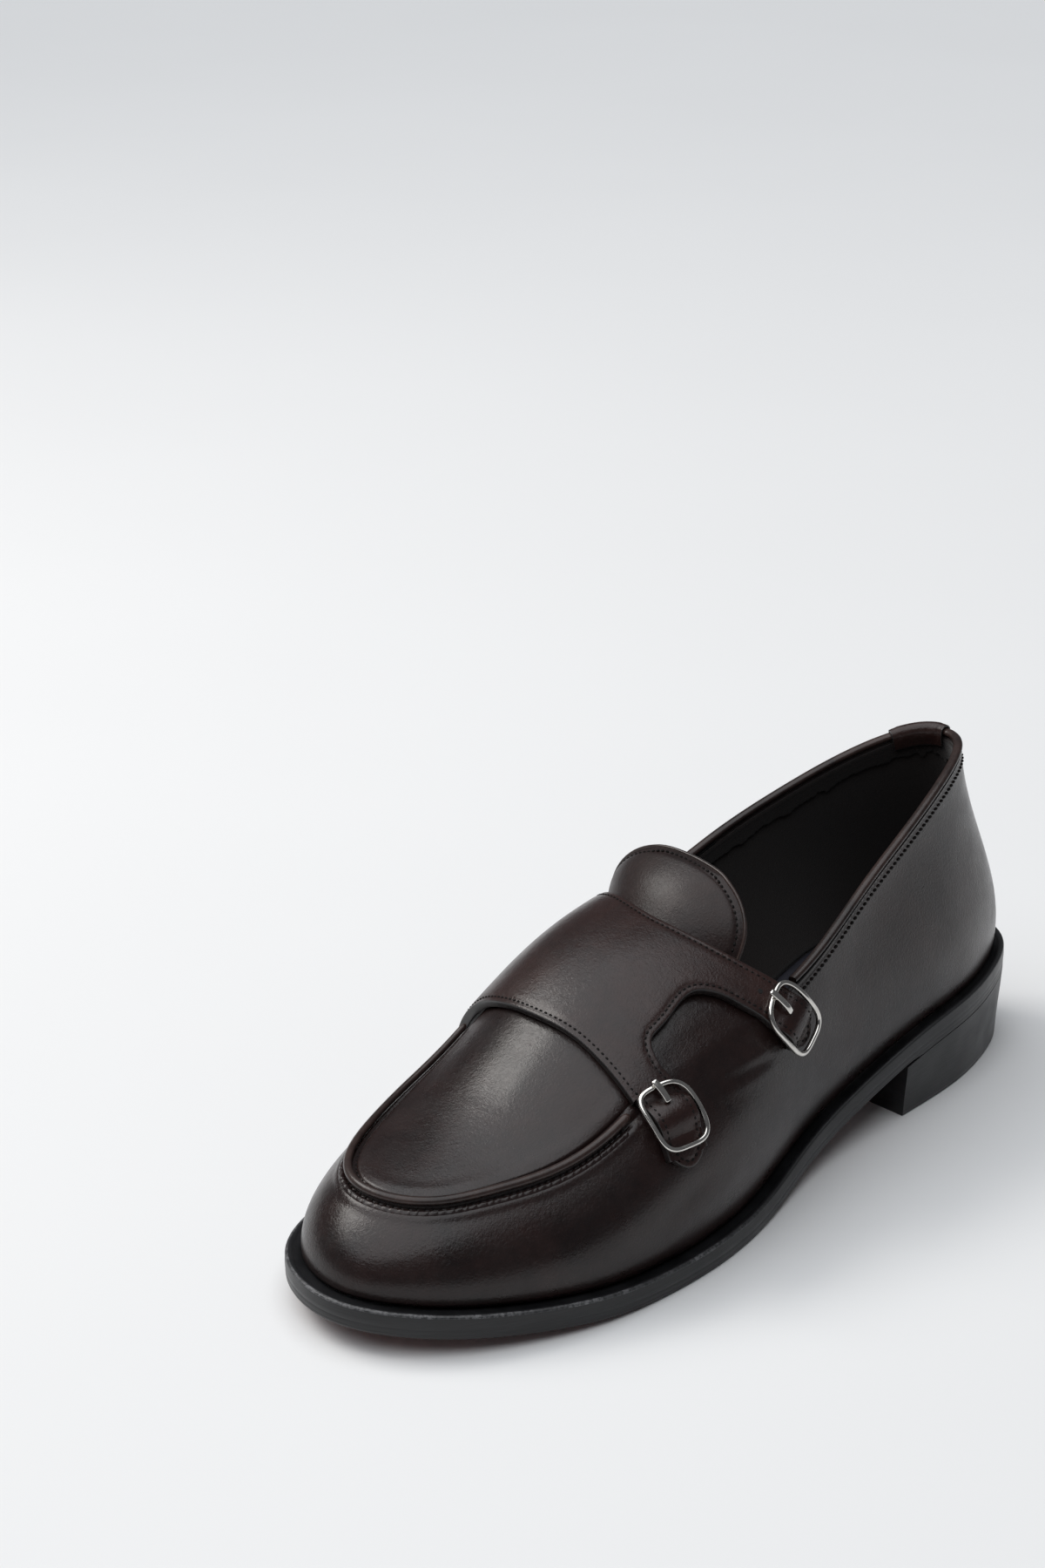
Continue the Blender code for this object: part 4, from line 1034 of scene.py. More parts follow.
def stitch_mesh(path, normals, pitch, width, fill=0.72, slant=0.0, seed=0, wander=0.04):
    """Places and faces of a row of stitches along a path."""
    length = running(leg_lengths(path))
    count = max(2, int(length[-1] / pitch))
    at = (np.arange(count) + 0.5) * length[-1] / count
    centre = read_line(at, length, path)
    up = unit(read_line(at, length, normals))
    ahead = unit(read_line(at + pitch / 4, length, path) - read_line(at - pitch / 4, length, path))
    side = unit(np.cross(up, ahead))
    rng = np.random.default_rng(seed)
    turn = slant + rng.normal(0.0, wander, count)
    along = ahead * np.cos(turn)[:, None] + side * np.sin(turn)[:, None]
    across = np.cross(up, along)
    reach = pitch * fill / 2
    rings = ((-0.75, 0.75), (-0.3, 1.0), (0.3, 1.0), (0.75, 0.75))
    local = [(-1.0, 0.0, -0.9)]
    for x, size in rings:
        for k in range(6):
            turn = math.pi / 3 * k
            local.append((x, math.cos(turn) * size, math.sin(turn) * size - 0.8 * x * x))
    local.append((1.0, 0.0, -0.9))
    local = np.array(local)
    thick = rng.normal(1.0, 0.06, count)[:, None, None]
    points = (centre[:, None] + along[:, None] * local[None, :, :1] * reach
              + across[:, None] * local[None, :, 1:2] * width / 2 * thick
              + up[:, None] * local[None, :, 2:] * width / 2)
    faces = []
    last = len(local) - 1
    for k in range(6):
        m = (k + 1) % 6
        faces.append((0, 1 + m, 1 + k))
        for r in range(len(rings) - 1):
            a = 1 + r * 6
            faces.append((a + k, a + m, a + 6 + m, a + 6 + k))
        a = 1 + (len(rings) - 1) * 6
        faces.append((a + k, a + m, last))
    made = []
    for i in range(count):
        made += [tuple(i * len(local) + k for k in face) for face in faces]
    return points.reshape(-1, 3), made


def ladder(start, count, flip):
    """Cap faces that join each lateral point to the medial point across from it."""
    faces = []
    for i in range(count // 2):
        a, b = i, i + 1
        c, d = (count - i - 1) % count, (count - i) % count
        ring = [a, b, c, d] if b != c else [a, b, d]
        if a == d:
            ring = [a, b, c]
        ring = [start + k for k in ring]
        faces.append(tuple(ring[::-1] if flip else ring))
    return faces


def plan_layer(angles, inset, height):
    """Points of one plan layer: height is a function of the place along the shoe."""
    plan, _ = outline_point(angles, np.broadcast_to(inset, len(angles)))
    return np.concatenate((plan, height(plan[:, 1])[:, None]), -1)


def layered(count, layers):
    """Places and faces of stacked plan layers with caps, and the number of side faces."""
    faces = []
    for k in range(len(layers) - 1):
        for i in range(count):
            j = (i + 1) % count
            upper, lower = k * count, (k + 1) * count
            faces.append((upper + i, upper + j, lower + j, lower + i))
    side = len(faces)
    for start, flip in ((0, True), ((len(layers) - 1) * count, False)):
        faces += ladder(start, count, flip)
    return np.concatenate(layers), faces, side


class Shader:
    """A material's nodes, added one after another."""

    def __init__(self, name):
        self.material = bpy.data.materials.new(name)
        self.material.use_nodes = True
        self.nodes = self.material.node_tree.nodes
        self.links = self.material.node_tree.links
        self.principled = self.nodes["Principled BSDF"]
        self.place = self.nodes.new("ShaderNodeTexCoord").outputs["Object"]

    def add(self, kind, values, **settings):
        """A node with its socket values (a socket is linked, a number is set)."""
        node = self.nodes.new(kind)
        for key, value in settings.items():
            setattr(node, key, value)
        for key, value in values.items():
            if isinstance(value, bpy.types.NodeSocket):
                self.links.new(value, node.inputs[key])
            else:
                node.inputs[key].default_value = value
        return node

    def noise(self, scale, detail=3.0, rough=0.5, twist=0.0, where=None):
        """Cloudy pattern; scale is in features per metre."""
        return self.add("ShaderNodeTexNoise", {
            "Vector": where or self.place, "Scale": scale, "Detail": detail, "Roughness": rough,
            "Distortion": twist}).outputs["Fac"]

    def cells(self, scale):
        """Cell pattern for leather pores."""
        return self.add("ShaderNodeTexVoronoi", {"Vector": self.place, "Scale": scale}).outputs["Distance"]

    def spread(self, value, low, high, out_low, out_high):
        """Value moved from one range to another."""
        return self.add("ShaderNodeMapRange", {
            "Value": value, "From Min": low, "From Max": high, "To Min": out_low,
            "To Max": out_high}).outputs["Result"]

    def maths(self, operation, first, second):
        """Two values added, multiplied or compared."""
        return self.add("ShaderNodeMath", {0: first, 1: second}, operation=operation).outputs[0]

    def blend(self, factor, first, second):
        """Colour between two, each a colour or a socket."""
        node = self.nodes.new("ShaderNodeMix")
        node.data_type = "RGBA"
        self.links.new(factor, node.inputs["Factor"])
        for socket, value in ((node.inputs[6], first), (node.inputs[7], second)):
            if isinstance(value, bpy.types.NodeSocket):
                self.links.new(value, socket)
            else:
                socket.default_value = (*value, 1.0)
        return node.outputs[2]

    def tones(self, value, low, high, first, second):
        """Colour between two as a pattern goes from its low to its high value."""
        return self.blend(self.spread(value, low, high, 0.0, 1.0), first, second)

    def raise_by(self, height, distance, strength, below=None):
        """Bump from a height, over an earlier bump."""
        node = self.add("ShaderNodeBump", {"Height": height, "Distance": distance, "Strength": strength})
        if below:
            self.links.new(below, node.inputs["Normal"])
        return node.outputs["Normal"]

    def finish(self, **sockets):
        """Sets or links the surface's values and gives the material."""
        names = {"colour": "Base Color", "roughness": "Roughness", "metallic": "Metallic",
                 "normal": "Normal", "coat": "Coat Weight", "coat_roughness": "Coat Roughness",
                 "sheen": "Sheen Weight", "sheen_roughness": "Sheen Roughness",
                 "specular": "Specular IOR Level"}
        for key, value in sockets.items():
            socket = self.principled.inputs[names[key]]
            if isinstance(value, bpy.types.NodeSocket):
                self.links.new(value, socket)
            elif isinstance(value, tuple):
                socket.default_value = (*value, 1.0)
            else:
                socket.default_value = value
        return self.material


def material(build):
    """A function that gives the named material, and builds its nodes the first time."""
    def give(name, *values):
        return bpy.data.materials.get(name) or build(Shader(name), *values)
    return give


@material
def leather(s, dark, light, shine, wrinkle, polish=1.0):
    """Smooth polished calf: mottled colour, fine pores, short wrinkles and an uneven polish."""
    looks = bpy.context.scene.loafer_leather
    mottle = s.noise(38.0, 4.0, 0.6, 0.6)
    fine = s.noise(420.0, 2.0)
    tone = s.maths("ADD", s.maths("MULTIPLY", mottle, 0.75), s.maths("MULTIPLY", fine, 0.25))
    colour = s.tones(tone, 0.36, 0.64, dark, light)
    rough = s.spread(s.noise(95.0, 4.0, 0.6), 0.35, 0.65, shine - 0.05, shine + 0.07)
    pores = s.spread(s.cells(1250.0), 0.0, 0.75, 0.0, 1.0)
    skin = s.noise(2300.0, 3.0, 0.6)
    lines = s.noise(640.0, 4.0, 0.62, 1.6)
    normal = s.raise_by(lines, 0.00045, wrinkle)
    normal = s.raise_by(s.maths("ADD", pores, skin), 0.00009, looks.grain, normal)
    soft = s.raise_by(lines, 0.00050, wrinkle * 0.5)
    soft = s.raise_by(skin, 0.00006, looks.grain * 0.7, soft)
    s.links.new(soft, s.principled.inputs["Coat Normal"])
    return s.finish(colour=colour, roughness=rough, normal=normal, coat=looks.polish * polish,
                    coat_roughness=0.13, specular=0.24)


@material
def edge_paint(s):
    """Painted cut edge of the leather."""
    colour = s.tones(s.noise(700.0, 3.0), 0.4, 0.65, EDGE_DARK, EDGE_LIGHT)
    normal = s.raise_by(s.noise(1500.0, 3.0), 0.00012, 0.35)
    return s.finish(colour=colour, roughness=0.42, normal=normal, coat=0.15, coat_roughness=0.25)


@material
def thread(s):
    """Twisted dark waxed thread."""
    twist = s.noise(2600.0, 2.0, 0.5, 0.8)
    colour = s.tones(twist, 0.4, 0.62, THREAD_DARK, THREAD_LIGHT)
    return s.finish(colour=colour, roughness=0.75, normal=s.raise_by(twist, 0.0001, 0.6),
                    specular=0.2)


@material
def lining(s):
    """Black leather lining that turns to brown suede around the heel."""
    split = s.nodes.new("ShaderNodeSeparateXYZ")
    s.links.new(s.place, split.inputs[0])
    wavy = s.maths("ADD", split.outputs["Y"], s.maths("MULTIPLY", s.noise(60.0), 0.006))
    heel = s.spread(wavy, 0.052, 0.054, 0.0, 1.0)
    nap = s.noise(1700.0, 4.0, 0.7)
    shaded = tuple(0.5 * v for v in LINING_SUEDE)
    napped = s.tones(nap, 0.35, 0.65, shaded, LINING_SUEDE)
    colour = s.blend(heel, LINING_BLACK, napped)
    rough = s.spread(heel, 0.0, 1.0, 0.55, 0.95)
    normal = s.raise_by(nap, 0.00025, 0.5)
    return s.finish(colour=colour, roughness=rough, normal=normal, specular=0.3,
                    sheen=s.spread(heel, 0.0, 1.0, 0.0, 0.25))


@material
def suede(s):
    """Brown napped facing inside the collar."""
    nap = s.noise(1700.0, 4.0, 0.7)
    colour = s.tones(nap, 0.35, 0.65, LINING_BLACK, LINING_SUEDE)
    return s.finish(colour=colour, roughness=0.95, normal=s.raise_by(nap, 0.00025, 0.6), sheen=0.2,
                    specular=0.2)


@material
def sock(s):
    """Dark blue sock leather with worn lighter patches."""
    wear = s.noise(30.0, 4.0, 0.6)
    colour = s.tones(wear, 0.35, 0.65, SOCK_DARK, SOCK_LIGHT)
    return s.finish(colour=colour, roughness=0.62, normal=s.raise_by(s.noise(1400.0, 3.0), 0.00018, 0.5))


@material
def sole_leather(s, dark, light, shine):
    """Dyed sole edge with faint lengthwise fibres."""
    stretch = s.add("ShaderNodeMapping", {"Vector": s.place, "Scale": (60.0, 60.0, 1800.0)})
    fibres = s.noise(1.0, 4.0, 0.65, 0.3, stretch.outputs["Vector"])
    blotch = s.noise(70.0, 4.0)
    tone = s.maths("ADD", s.maths("MULTIPLY", fibres, 0.5), s.maths("MULTIPLY", blotch, 0.5))
    colour = s.tones(tone, 0.38, 0.62, dark, light)
    normal = s.raise_by(fibres, 0.00012, 0.45)
    rough = s.spread(blotch, 0.35, 0.65, shine - 0.06, shine + 0.08)
    return s.finish(colour=colour, roughness=rough, normal=normal, specular=0.4)


@material
def sole_ridge(s):
    """Top ridge of the sole, pale in short patches around the forefoot: partly rubbed wear, partly a painted
    highlight along the edge.
    """
    split = s.nodes.new("ShaderNodeSeparateXYZ")
    s.links.new(s.place, split.inputs[0])
    front = s.spread(split.outputs["Y"], -0.005, -0.06, 0.0, 1.0)
    patches = s.spread(s.noise(900.0, 5.0, 0.75), 0.42, 0.60, 0.0, 1.0)
    broad = s.spread(s.noise(70.0, 2.0), 0.42, 0.58, 0.25, 1.0)
    # The pale mix is partly wear and partly a painted highlight of the ridge catching the light
    worn = s.maths("MULTIPLY", front, s.maths("MULTIPLY", patches, broad))
    colour = s.blend(worn, SOLE_LIGHT, RIDGE_WEAR_AND_HIGHLIGHT)
    normal = s.raise_by(s.noise(1100.0, 4.0, 0.7), 0.0002, 0.6)
    return s.finish(colour=colour, roughness=s.spread(worn, 0.0, 1.0, 0.36, 0.75), normal=normal)


@material
def steel(s):
    """Polished pale metal with fine wear."""
    haze = s.noise(260.0, 4.0, 0.7)
    colour = s.tones(haze, 0.3, 0.7, STEEL_DARK, STEEL_LIGHT)
    rough = s.spread(s.noise(500.0, 3.0), 0.35, 0.7, 0.12, 0.19)
    return s.finish(colour=colour, roughness=rough, metallic=1.0,
                    normal=s.raise_by(s.noise(1900.0, 2.0), 0.00002, 0.12))


@material
def hole_shade(s):
    """Painted shade for a punched hole: a near-black tone in place of the opening."""
    colour = s.blend(s.noise(900.0), HOLE_SHADE_BLACK, HOLE_SHADE_BROWN)
    return s.finish(colour=colour, roughness=0.9)


@material
def studio_floor(s):
    """Pale studio floor."""
    tone = s.noise(3.0, 3.0)
    warm = tuple(v * 0.985 for v in FLOOR_TONE)
    colour = s.tones(tone, 0.3, 0.7, warm, FLOOR_TONE)
    return s.finish(colour=colour, roughness=0.75, specular=0.2)


def upper_leather():
    """Leather of the vamp, apron and quarters."""
    return leather("calf_upper", UPPER_DARK, UPPER_LIGHT, 0.31, 0.26)


def tongue_leather():
    """Leather of the tongue, less polished than the rest."""
    return leather("calf_tongue", UPPER_DARK, UPPER_LIGHT, 0.42, 0.26, 0.35)


def strap_leather():
    """Leather of the strap and the heel tab."""
    return leather("calf_strap", STRAP_DARK, STRAP_LIGHT, 0.33, 0.30)


def trim_leather():
    """Leather of the piping and the binding."""
    return leather("calf_trim", TRIM_DARK, TRIM_LIGHT, 0.38, 0.05)


def strap_body(mesh):
    """The strap between its medial end, its window and the roots of its two tails."""
    root = 12
    rear = edge_points(STRAP_REAR, mesh.strap_rows + 1)
    front = edge_points(STRAP_FRONT, mesh.strap_rows + 1)
    window = edge_points(STRAP_WINDOW, mesh.strap_steps + 1)
    steps = 2 * root + mesh.strap_steps
    side = np.linspace(0.0, 1.0, root + 1)[:, None]
    first = rear[-1] * (1 - side) + window[0] * side
    last = window[-1] * (1 - side) + front[-1] * side
    near = np.concatenate((first[:-1], window, last[1:]))
    end = edge_points(STRAP_END, steps + 1)
    b = np.linspace(0.0, 1.0, mesh.strap_rows + 1)[:, None, None]
    a = np.linspace(0.0, 1.0, steps + 1)[None, :, None]
    places = (end[None] * (1 - b) + near[None] * b + rear[:, None] * (1 - a) + front[:, None] * a
              - end[0] * (1 - a) * (1 - b) - near[0] * (1 - a) * b
              - end[-1] * a * (1 - b) - near[-1] * a * b)
    return places, root, steps


def strap_sheet(mesh):
    """Open sheet of the whole strap on the instep."""
    places, root, steps = strap_body(mesh)
    body = on_instep(places[..., 0], places[..., 1], np.zeros(places.shape[:2]))
    width = steps + 1
    rows = mesh.strap_rows
    points = list(body.reshape(-1, 3))
    faces = grid_faces(rows + 1, width)
    for which, columns in enumerate((range(0, root + 1), range(steps - root, steps + 1))):
        previous = [rows * width + k for k in columns]
        place = buckle_place(which)
        reach = BUCKLES["reach"][which]
        across = np.linspace(0.5, -0.5, root + 1) * TAIL_WIDTH
        start = points[previous[0]] * 0.5 + points[previous[-1]] * 0.5
        first = TAIL_JOIN - TAIL_ROOT
        target = place(np.full(root + 1, first), across, np.zeros(root + 1))
        gap = np.linalg.norm(target.mean(0) - start)
        blends = max(2, int(gap / 0.0008))
        begin = np.array([points[k] for k in previous])
        for b in range(1, blends):
            share = b / blends
            row = begin * (1 - share) + target * share
            current = list(range(len(points), len(points) + root + 1))
            points += list(row)
            faces += bridge(previous, current)
            previous = current
        stations = np.concatenate((np.arange(first, reach - TAIL_TAPER, 0.0007),
                                   np.linspace(reach - TAIL_TAPER, reach, 9)))
        for s in stations:
            narrow = 1.0 - TAIL_NARROW * smooth(s, reach - TAIL_TAPER, reach)
            back = smooth(s, reach - TAIL_TAPER, reach) * TAIL_POINT * (2 * across / TAIL_WIDTH) ** 2
            row = place(np.full(root + 1, s) - back, across * narrow, np.full(root + 1, dome(s)))
            current = list(range(len(points), len(points) + root + 1))
            points += list(row)
            faces += bridge(previous, current)
            previous = current
    return open_mesh(points, faces)


def bridge(previous, current):
    """Faces between two rows of the same length."""
    return [(previous[k], previous[k + 1], current[k + 1], current[k]) for k in range(len(previous) - 1)]


def strap_top(distance):
    """Lift of the strap's upper face by the distance from its edge."""
    full = STRAP_LIFT + STRAP_THICKNESS
    puff = 0.00024 * smooth(distance, 0.0, 0.0040)
    groove = 0.00020 * bump_at(distance, STITCH_INSET, 0.00038)
    return full - 0.00024 + puff - groove


def tongue_sheet():
    """Open sheet of the tongue, its rows from the root to the rounded top."""
    turns = np.linspace(-math.pi / 2, math.pi / 2, 61)
    columns = np.sin(turns)
    rows = []
    order = np.argsort(STRAP_REAR["girth"])
    girths = np.asarray(STRAP_REAR["girth"])[order]
    shares = np.asarray(STRAP_REAR["share"])[order]
    for r in np.linspace(0.0, 1.0, 71):
        top = 1 - TONGUE_ROUND * (1 - np.sqrt(np.maximum(1 - np.abs(columns) ** TONGUE_SQUARE, 0.0)))
        share = TONGUE_ROOT + (TONGUE_TOP - TONGUE_ROOT) * r * top
        high = smooth(share, TONGUE_BEND, TONGUE_TOP)
        girth = TONGUE_HALF * columns + TONGUE_MIDDLE + TONGUE_LEAN * high
        behind = open_spline(girths, shares, girth) - share
        knots = TONGUE_RISE["behind"]
        rise = open_spline(knots, TONGUE_RISE["lift"], np.clip(behind, knots[0], knots[-1])) * MM
        rows.append(on_instep(share, girth * MM, rise))
    return open_mesh(np.concatenate(rows), grid_faces(len(rows), len(turns)))


def tongue_top(distance):
    """Lift of the tongue's upper face by the distance from its edge."""
    return TONGUE_THICKNESS - 0.00045 + 0.0006 * smooth(distance, 0.0, 0.004) \
        - 0.00025 * bump_at(distance, TONGUE_ROW, 0.0006)


def row_from_loop(sheet, inset, lift, keep=None):
    """Path a distance inside a sheet's boundary, on its upper face, cut where it crosses itself."""
    points, _, normals, loop = sheet
    line, up, inward = loop_frame(points, normals, loop)
    path = line + inward * inset
    clear = edge_distance(path, line) > 0.94 * inset
    path = path + up * lift
    chosen = np.arange(len(loop)) if keep is None else np.flatnonzero(keep(line))
    if keep is not None:
        breaks = np.flatnonzero(np.diff(chosen) > 1)
        if len(breaks) and chosen[0] == 0 and chosen[-1] == len(loop) - 1:
            chosen = np.concatenate((chosen[breaks[-1] + 1:], chosen[:breaks[-1] + 1]))
    chosen = chosen[clear[chosen]]
    return path[chosen], up[chosen]


class LOAFER_OT_sole(bpy.types.Operator):
    """Outsole with its ridge and grooves, and the stacked heel"""
    bl_idname = "loafer.sole"
    bl_label = "Sole and heel"

    def execute(self, context):
        mesh = context.scene.loafer_mesh
        angles = np.arange(mesh.columns) * 2 * math.pi / mesh.columns
        layers = []
        ahead = smooth(share_along(angles), HEEL_LENGTH / SHOE_LENGTH - 0.03, HEEL_LENGTH / SHOE_LENGTH)
        for down, inset in zip(SOLE_SIDE["down"], SOLE_SIDE["inset"]):
            drop = down * SOLE_EDGE
            rounded = inset * (ahead if down > LOWER_EDGE else 1.0)
            layers.append(plan_layer(angles, rounded * SOLE_EDGE, lambda y: sole_top(y) - drop))
        points, faces, side = layered(mesh.columns, layers)
        indices = []
        for k in range(len(SOLE_SIDE["down"]) - 1):
            ridge = RIDGE_ROWS[0] <= k < RIDGE_ROWS[1]
            indices += [1 if ridge else 0] * mesh.columns
        caps = (len(faces) - side) // 2
        indices += [0] * caps + [2] * caps
        edge = sole_leather("sole_edge", SOLE_DARK, SOLE_LIGHT, 0.38)
        under = sole_leather("sole_under", UNDER_DARK, UNDER_LIGHT, 0.5)
        sole = new_piece("sole", points, faces, (edge, sole_ridge("sole_ridge"), under), indices)
        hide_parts("outsole")
        self.heel(mesh, edge)
        return {"FINISHED"}

    def heel(self, mesh, edge):
        """The stacked heel as one block, drawn in at its foot, with an upright breast."""
        breast_angle = turn_at(HEEL_LENGTH / SHOE_LENGTH)
        breast = SHOE_LENGTH / 2 - HEEL_LENGTH
        steps = mesh.columns // 4
        turns = np.linspace(0.0, breast_angle, steps)
        angles = np.concatenate((turns, 2 * math.pi - turns[:0:-1]))
        layers = []
        for down, inset in zip(HEEL_SIDE["down"], HEEL_SIDE["inset"]):
            layer = plan_layer(angles, inset * HEEL_INSET,
                               lambda y: (underside(share_at(y)) - GAP) * (1 - down))
            layer[steps - 1:steps + 1, 1] = breast + inset * 0.0003
            layers.append(layer)
        points, faces, _ = layered(len(angles), layers)
        heel = new_piece("heel_block", points, faces, (edge,), angle=40.0)
        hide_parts("heel")


class LOAFER_OT_insole(bpy.types.Operator):
    """Sock leather inside the shoe"""
    bl_idname = "loafer.insole"
    bl_label = "Insole"

    def execute(self, context):
        count = context.scene.loafer_mesh.columns // 2
        angles = np.arange(count) * 2 * math.pi / count
        welt = WELT_FRONT + WALL + 2 * GAP
        layers = []
        for inset, rise in zip(SOCK_SIDE["inset"], SOCK_SIDE["rise"]):
            layers.append(plan_layer(angles, welt + inset,
                                     lambda y: sole_top(y) + GAP + INSOLE_THICKNESS * rise))
        points, faces, _ = layered(count, layers)
        piece = new_piece("sock_lining", points, faces, (sock("sock"),))
        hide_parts("insole")
        return {"FINISHED"}


class LOAFER_OT_upper(bpy.types.Operator):
    """Upper with its apron, soft folds and lining"""
    bl_idname = "loafer.upper"
    bl_label = "Upper"

    def execute(self, context):
        mesh = context.scene.loafer_mesh
        looks = context.scene.loafer_leather
        columns = mesh.columns
        angles = np.arange(columns) * 2 * math.pi / columns
        s = np.linspace(0.0, 1.0, mesh.wall_rows + 1)
        rise = s * (1.62 - 0.62 * s)
        turns = np.repeat(angles[:, None], len(rise), 1)
        wall = wall_point(turns, np.broadcast_to(rise, turns.shape))
        legs = np.linalg.norm(np.diff(wall, axis=1), axis=-1)
        down = np.concatenate((np.cumsum(legs[:, ::-1], 1)[:, ::-1], np.zeros((columns, 1))), 1)
        lift = fold_height(wall, looks.folds) + wall_trim(down, turns)
        wall = wall + grid_normals(wall, True) * lift[..., None]
        points = list(wall.transpose(1, 0, 2).reshape(-1, 3))
        faces = []
        for row in range(mesh.wall_rows):
            for i in range(columns):
                j = (i + 1) % columns
                low, high = row * columns, (row + 1) * columns
                faces.append((low + i, high + i, high + j, low + j))
        self.crown(mesh, looks, angles, points, faces)
        points = np.array(points)
        materials = (upper_leather(), lining("lining"))
        piece = new_piece("leather_upper", points, faces, materials, closed=False)
        self.shoulder(piece, points)
        solid = piece.modifiers.new("lining", "SOLIDIFY")
        solid.thickness = WALL
        solid.offset = -1
        solid.use_even_offset = True
        solid.material_offset = 1
        solid.material_offset_rim = 1
        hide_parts("upper")
        return {"FINISHED"}

    def shoulder(self, piece, points):
        """Rounds the top line between the collar and the piping, where the leather has no seam."""
        turns = np.linspace(turn_at(SHOULDER_FROM), turn_at(SHOULDER_TO), 160)
        distance = nearest(points, np.concatenate((top_line(turns), top_line(2 * math.pi - turns))))
        weight = 1 - smooth(distance, 0.002, SHOULDER_REACH)
        group = piece.vertex_groups.new(name="shoulder")
        for k in np.flatnonzero(weight > 0.01):
            group.add([int(k)], float(weight[k]), "REPLACE")
        soft = piece.modifiers.new("shoulder", "SMOOTH")
        soft.vertex_group = "shoulder"
        soft.factor = 0.5
        soft.iterations = SHOULDER_PASSES

    def crown(self, mesh, looks, angles, points, faces):
        """Adds the apron and the instep between the two top lines."""
        columns = len(angles)
        top = mesh.wall_rows * columns
        toe = columns // 2
        first = int(round(turn_at(THROAT) / (2 * math.pi) * columns))
        fade = THROAT_FADE * columns
        even = np.linspace(0.0, 1.0, mesh.crown_columns + 1)
        across = even - 0.72 * np.sin(2 * math.pi * even) / (2 * math.pi)
        rows = []
        grid = []
        for i in range(first, toe):
            ahead = THROAT_ARC * max(0.0, 1 - (i - first) / fade)
            share = share_along(angles[i]) + ahead * 4 * across * (1 - across)
            grid.append(crown_point(np.arccos(1 - 2 * share), across))
        grid = np.array(grid)
        seam = top_line(np.linspace(angles[first], 2 * math.pi - angles[first], 700))
        distance = nearest(grid.reshape(-1, 3), seam).reshape(grid.shape[:2])
        near = smooth(share_at(grid[..., 1]), *APRON_SPAN)
        lift = crown_trim(distance) * near + fold_height(grid, looks.folds)
        normals = unit(np.cross(np.gradient(grid, axis=1), np.gradient(grid, axis=0)))
        normals *= np.sign(normals[..., 2:3])
        grid = grid + normals * lift[..., None]
        for i in range(first, toe):
            row = [top + i]
            for k in range(1, mesh.crown_columns):
                row.append(len(points))
                points.append(grid[i - first, k])
            row.append(top + columns - i)
            rows.append(row)
        for one, two in zip(rows, rows[1:]):
            for k in range(mesh.crown_columns):
                faces.append((one[k], one[k + 1], two[k + 1], two[k]))
        for k in range(mesh.crown_columns):
            faces.append((rows[-1][k], rows[-1][k + 1], top + toe))


class LOAFER_OT_apron_trim(bpy.types.Operator):
    """Piping on the apron seam, the rough gathered edge below it and their stitches"""
    bl_idname = "loafer.apron_trim"
    bl_label = "Apron trim"

    def execute(self, context):
        stitches = context.scene.loafer_stitches
        angles = seam_angles(520)
        point, outward = seam_frame(angles)
        path = point + outward * (2 * GAP + PIPING_HEIGHT * 0.36)
        section = rounded_ends(oval(PIPING_WIDTH, PIPING_HEIGHT * 1.28, 14), 0.002, path)
        points, faces = sweep_mesh(path, outward, section, False)
        piping = new_piece("piping", points, faces, (trim_leather(),))
        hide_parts("apron_piping")
        self.gathered_edge()
        point, outward = inside_seam(seam_angles(900, 0.006), APRON_ROW)
        inner = stitch_mesh(point, outward, 0.0021, stitches.width, 0.62, 0.5, 3, 0.1)
        point, outward = below_seam(seam_angles(900, 0.012), APRON_ROW)
        cross = stitch_mesh(point + outward * 0.0001, outward, PLEAT_PITCH, 0.00068, 0.98, 1.15, 5, 0.25)
        points, faces = join_meshes((inner, cross))
        rows = new_piece("apron_stitches", points, faces, (thread("dark_thread"),))
        return {"FINISHED"}

    def gathered_edge(self):
        """Raised edge of the vamp, with small uneven pleats against the piping."""
        angles = seam_angles(1500, 0.010)
        rng = np.random.default_rng(11)
        at = running(leg_lengths(top_line(angles)))
        knots = np.arange(0.0, at[-1] + 0.002, PLEAT_WANDER)
        uneven = np.interp(at, knots, rng.normal(0.0, 1.0, len(knots)))
        pleat = 0.5 + 0.5 * np.sin(2 * math.pi * at / PLEAT_PITCH + 1.1 * uneven)
        rows = []
        for down, rise, waver in zip(EDGE_PROFILE["down"], EDGE_PROFILE["rise"], EDGE_PROFILE["pleat"]):
            shift = waver * MM * (pleat - 0.5) + 0.08 * MM * uneven * (waver > 0)
            place, outward = below_seam(angles, down + shift)
            high = rise * MM + 0.25 * waver * MM * (pleat - 0.5)
            rows.append(place + outward * high[:, None])
        sheet = open_mesh(np.concatenate(rows), grid_faces(len(rows), len(angles)))
        lift = np.zeros(len(sheet[0]))
        piece = leather_sheet("apron_edge", sheet, lift + 0.0001, lift - 0.0006, 0.0001,
                              (upper_leather(), edge_paint("edge_paint")))


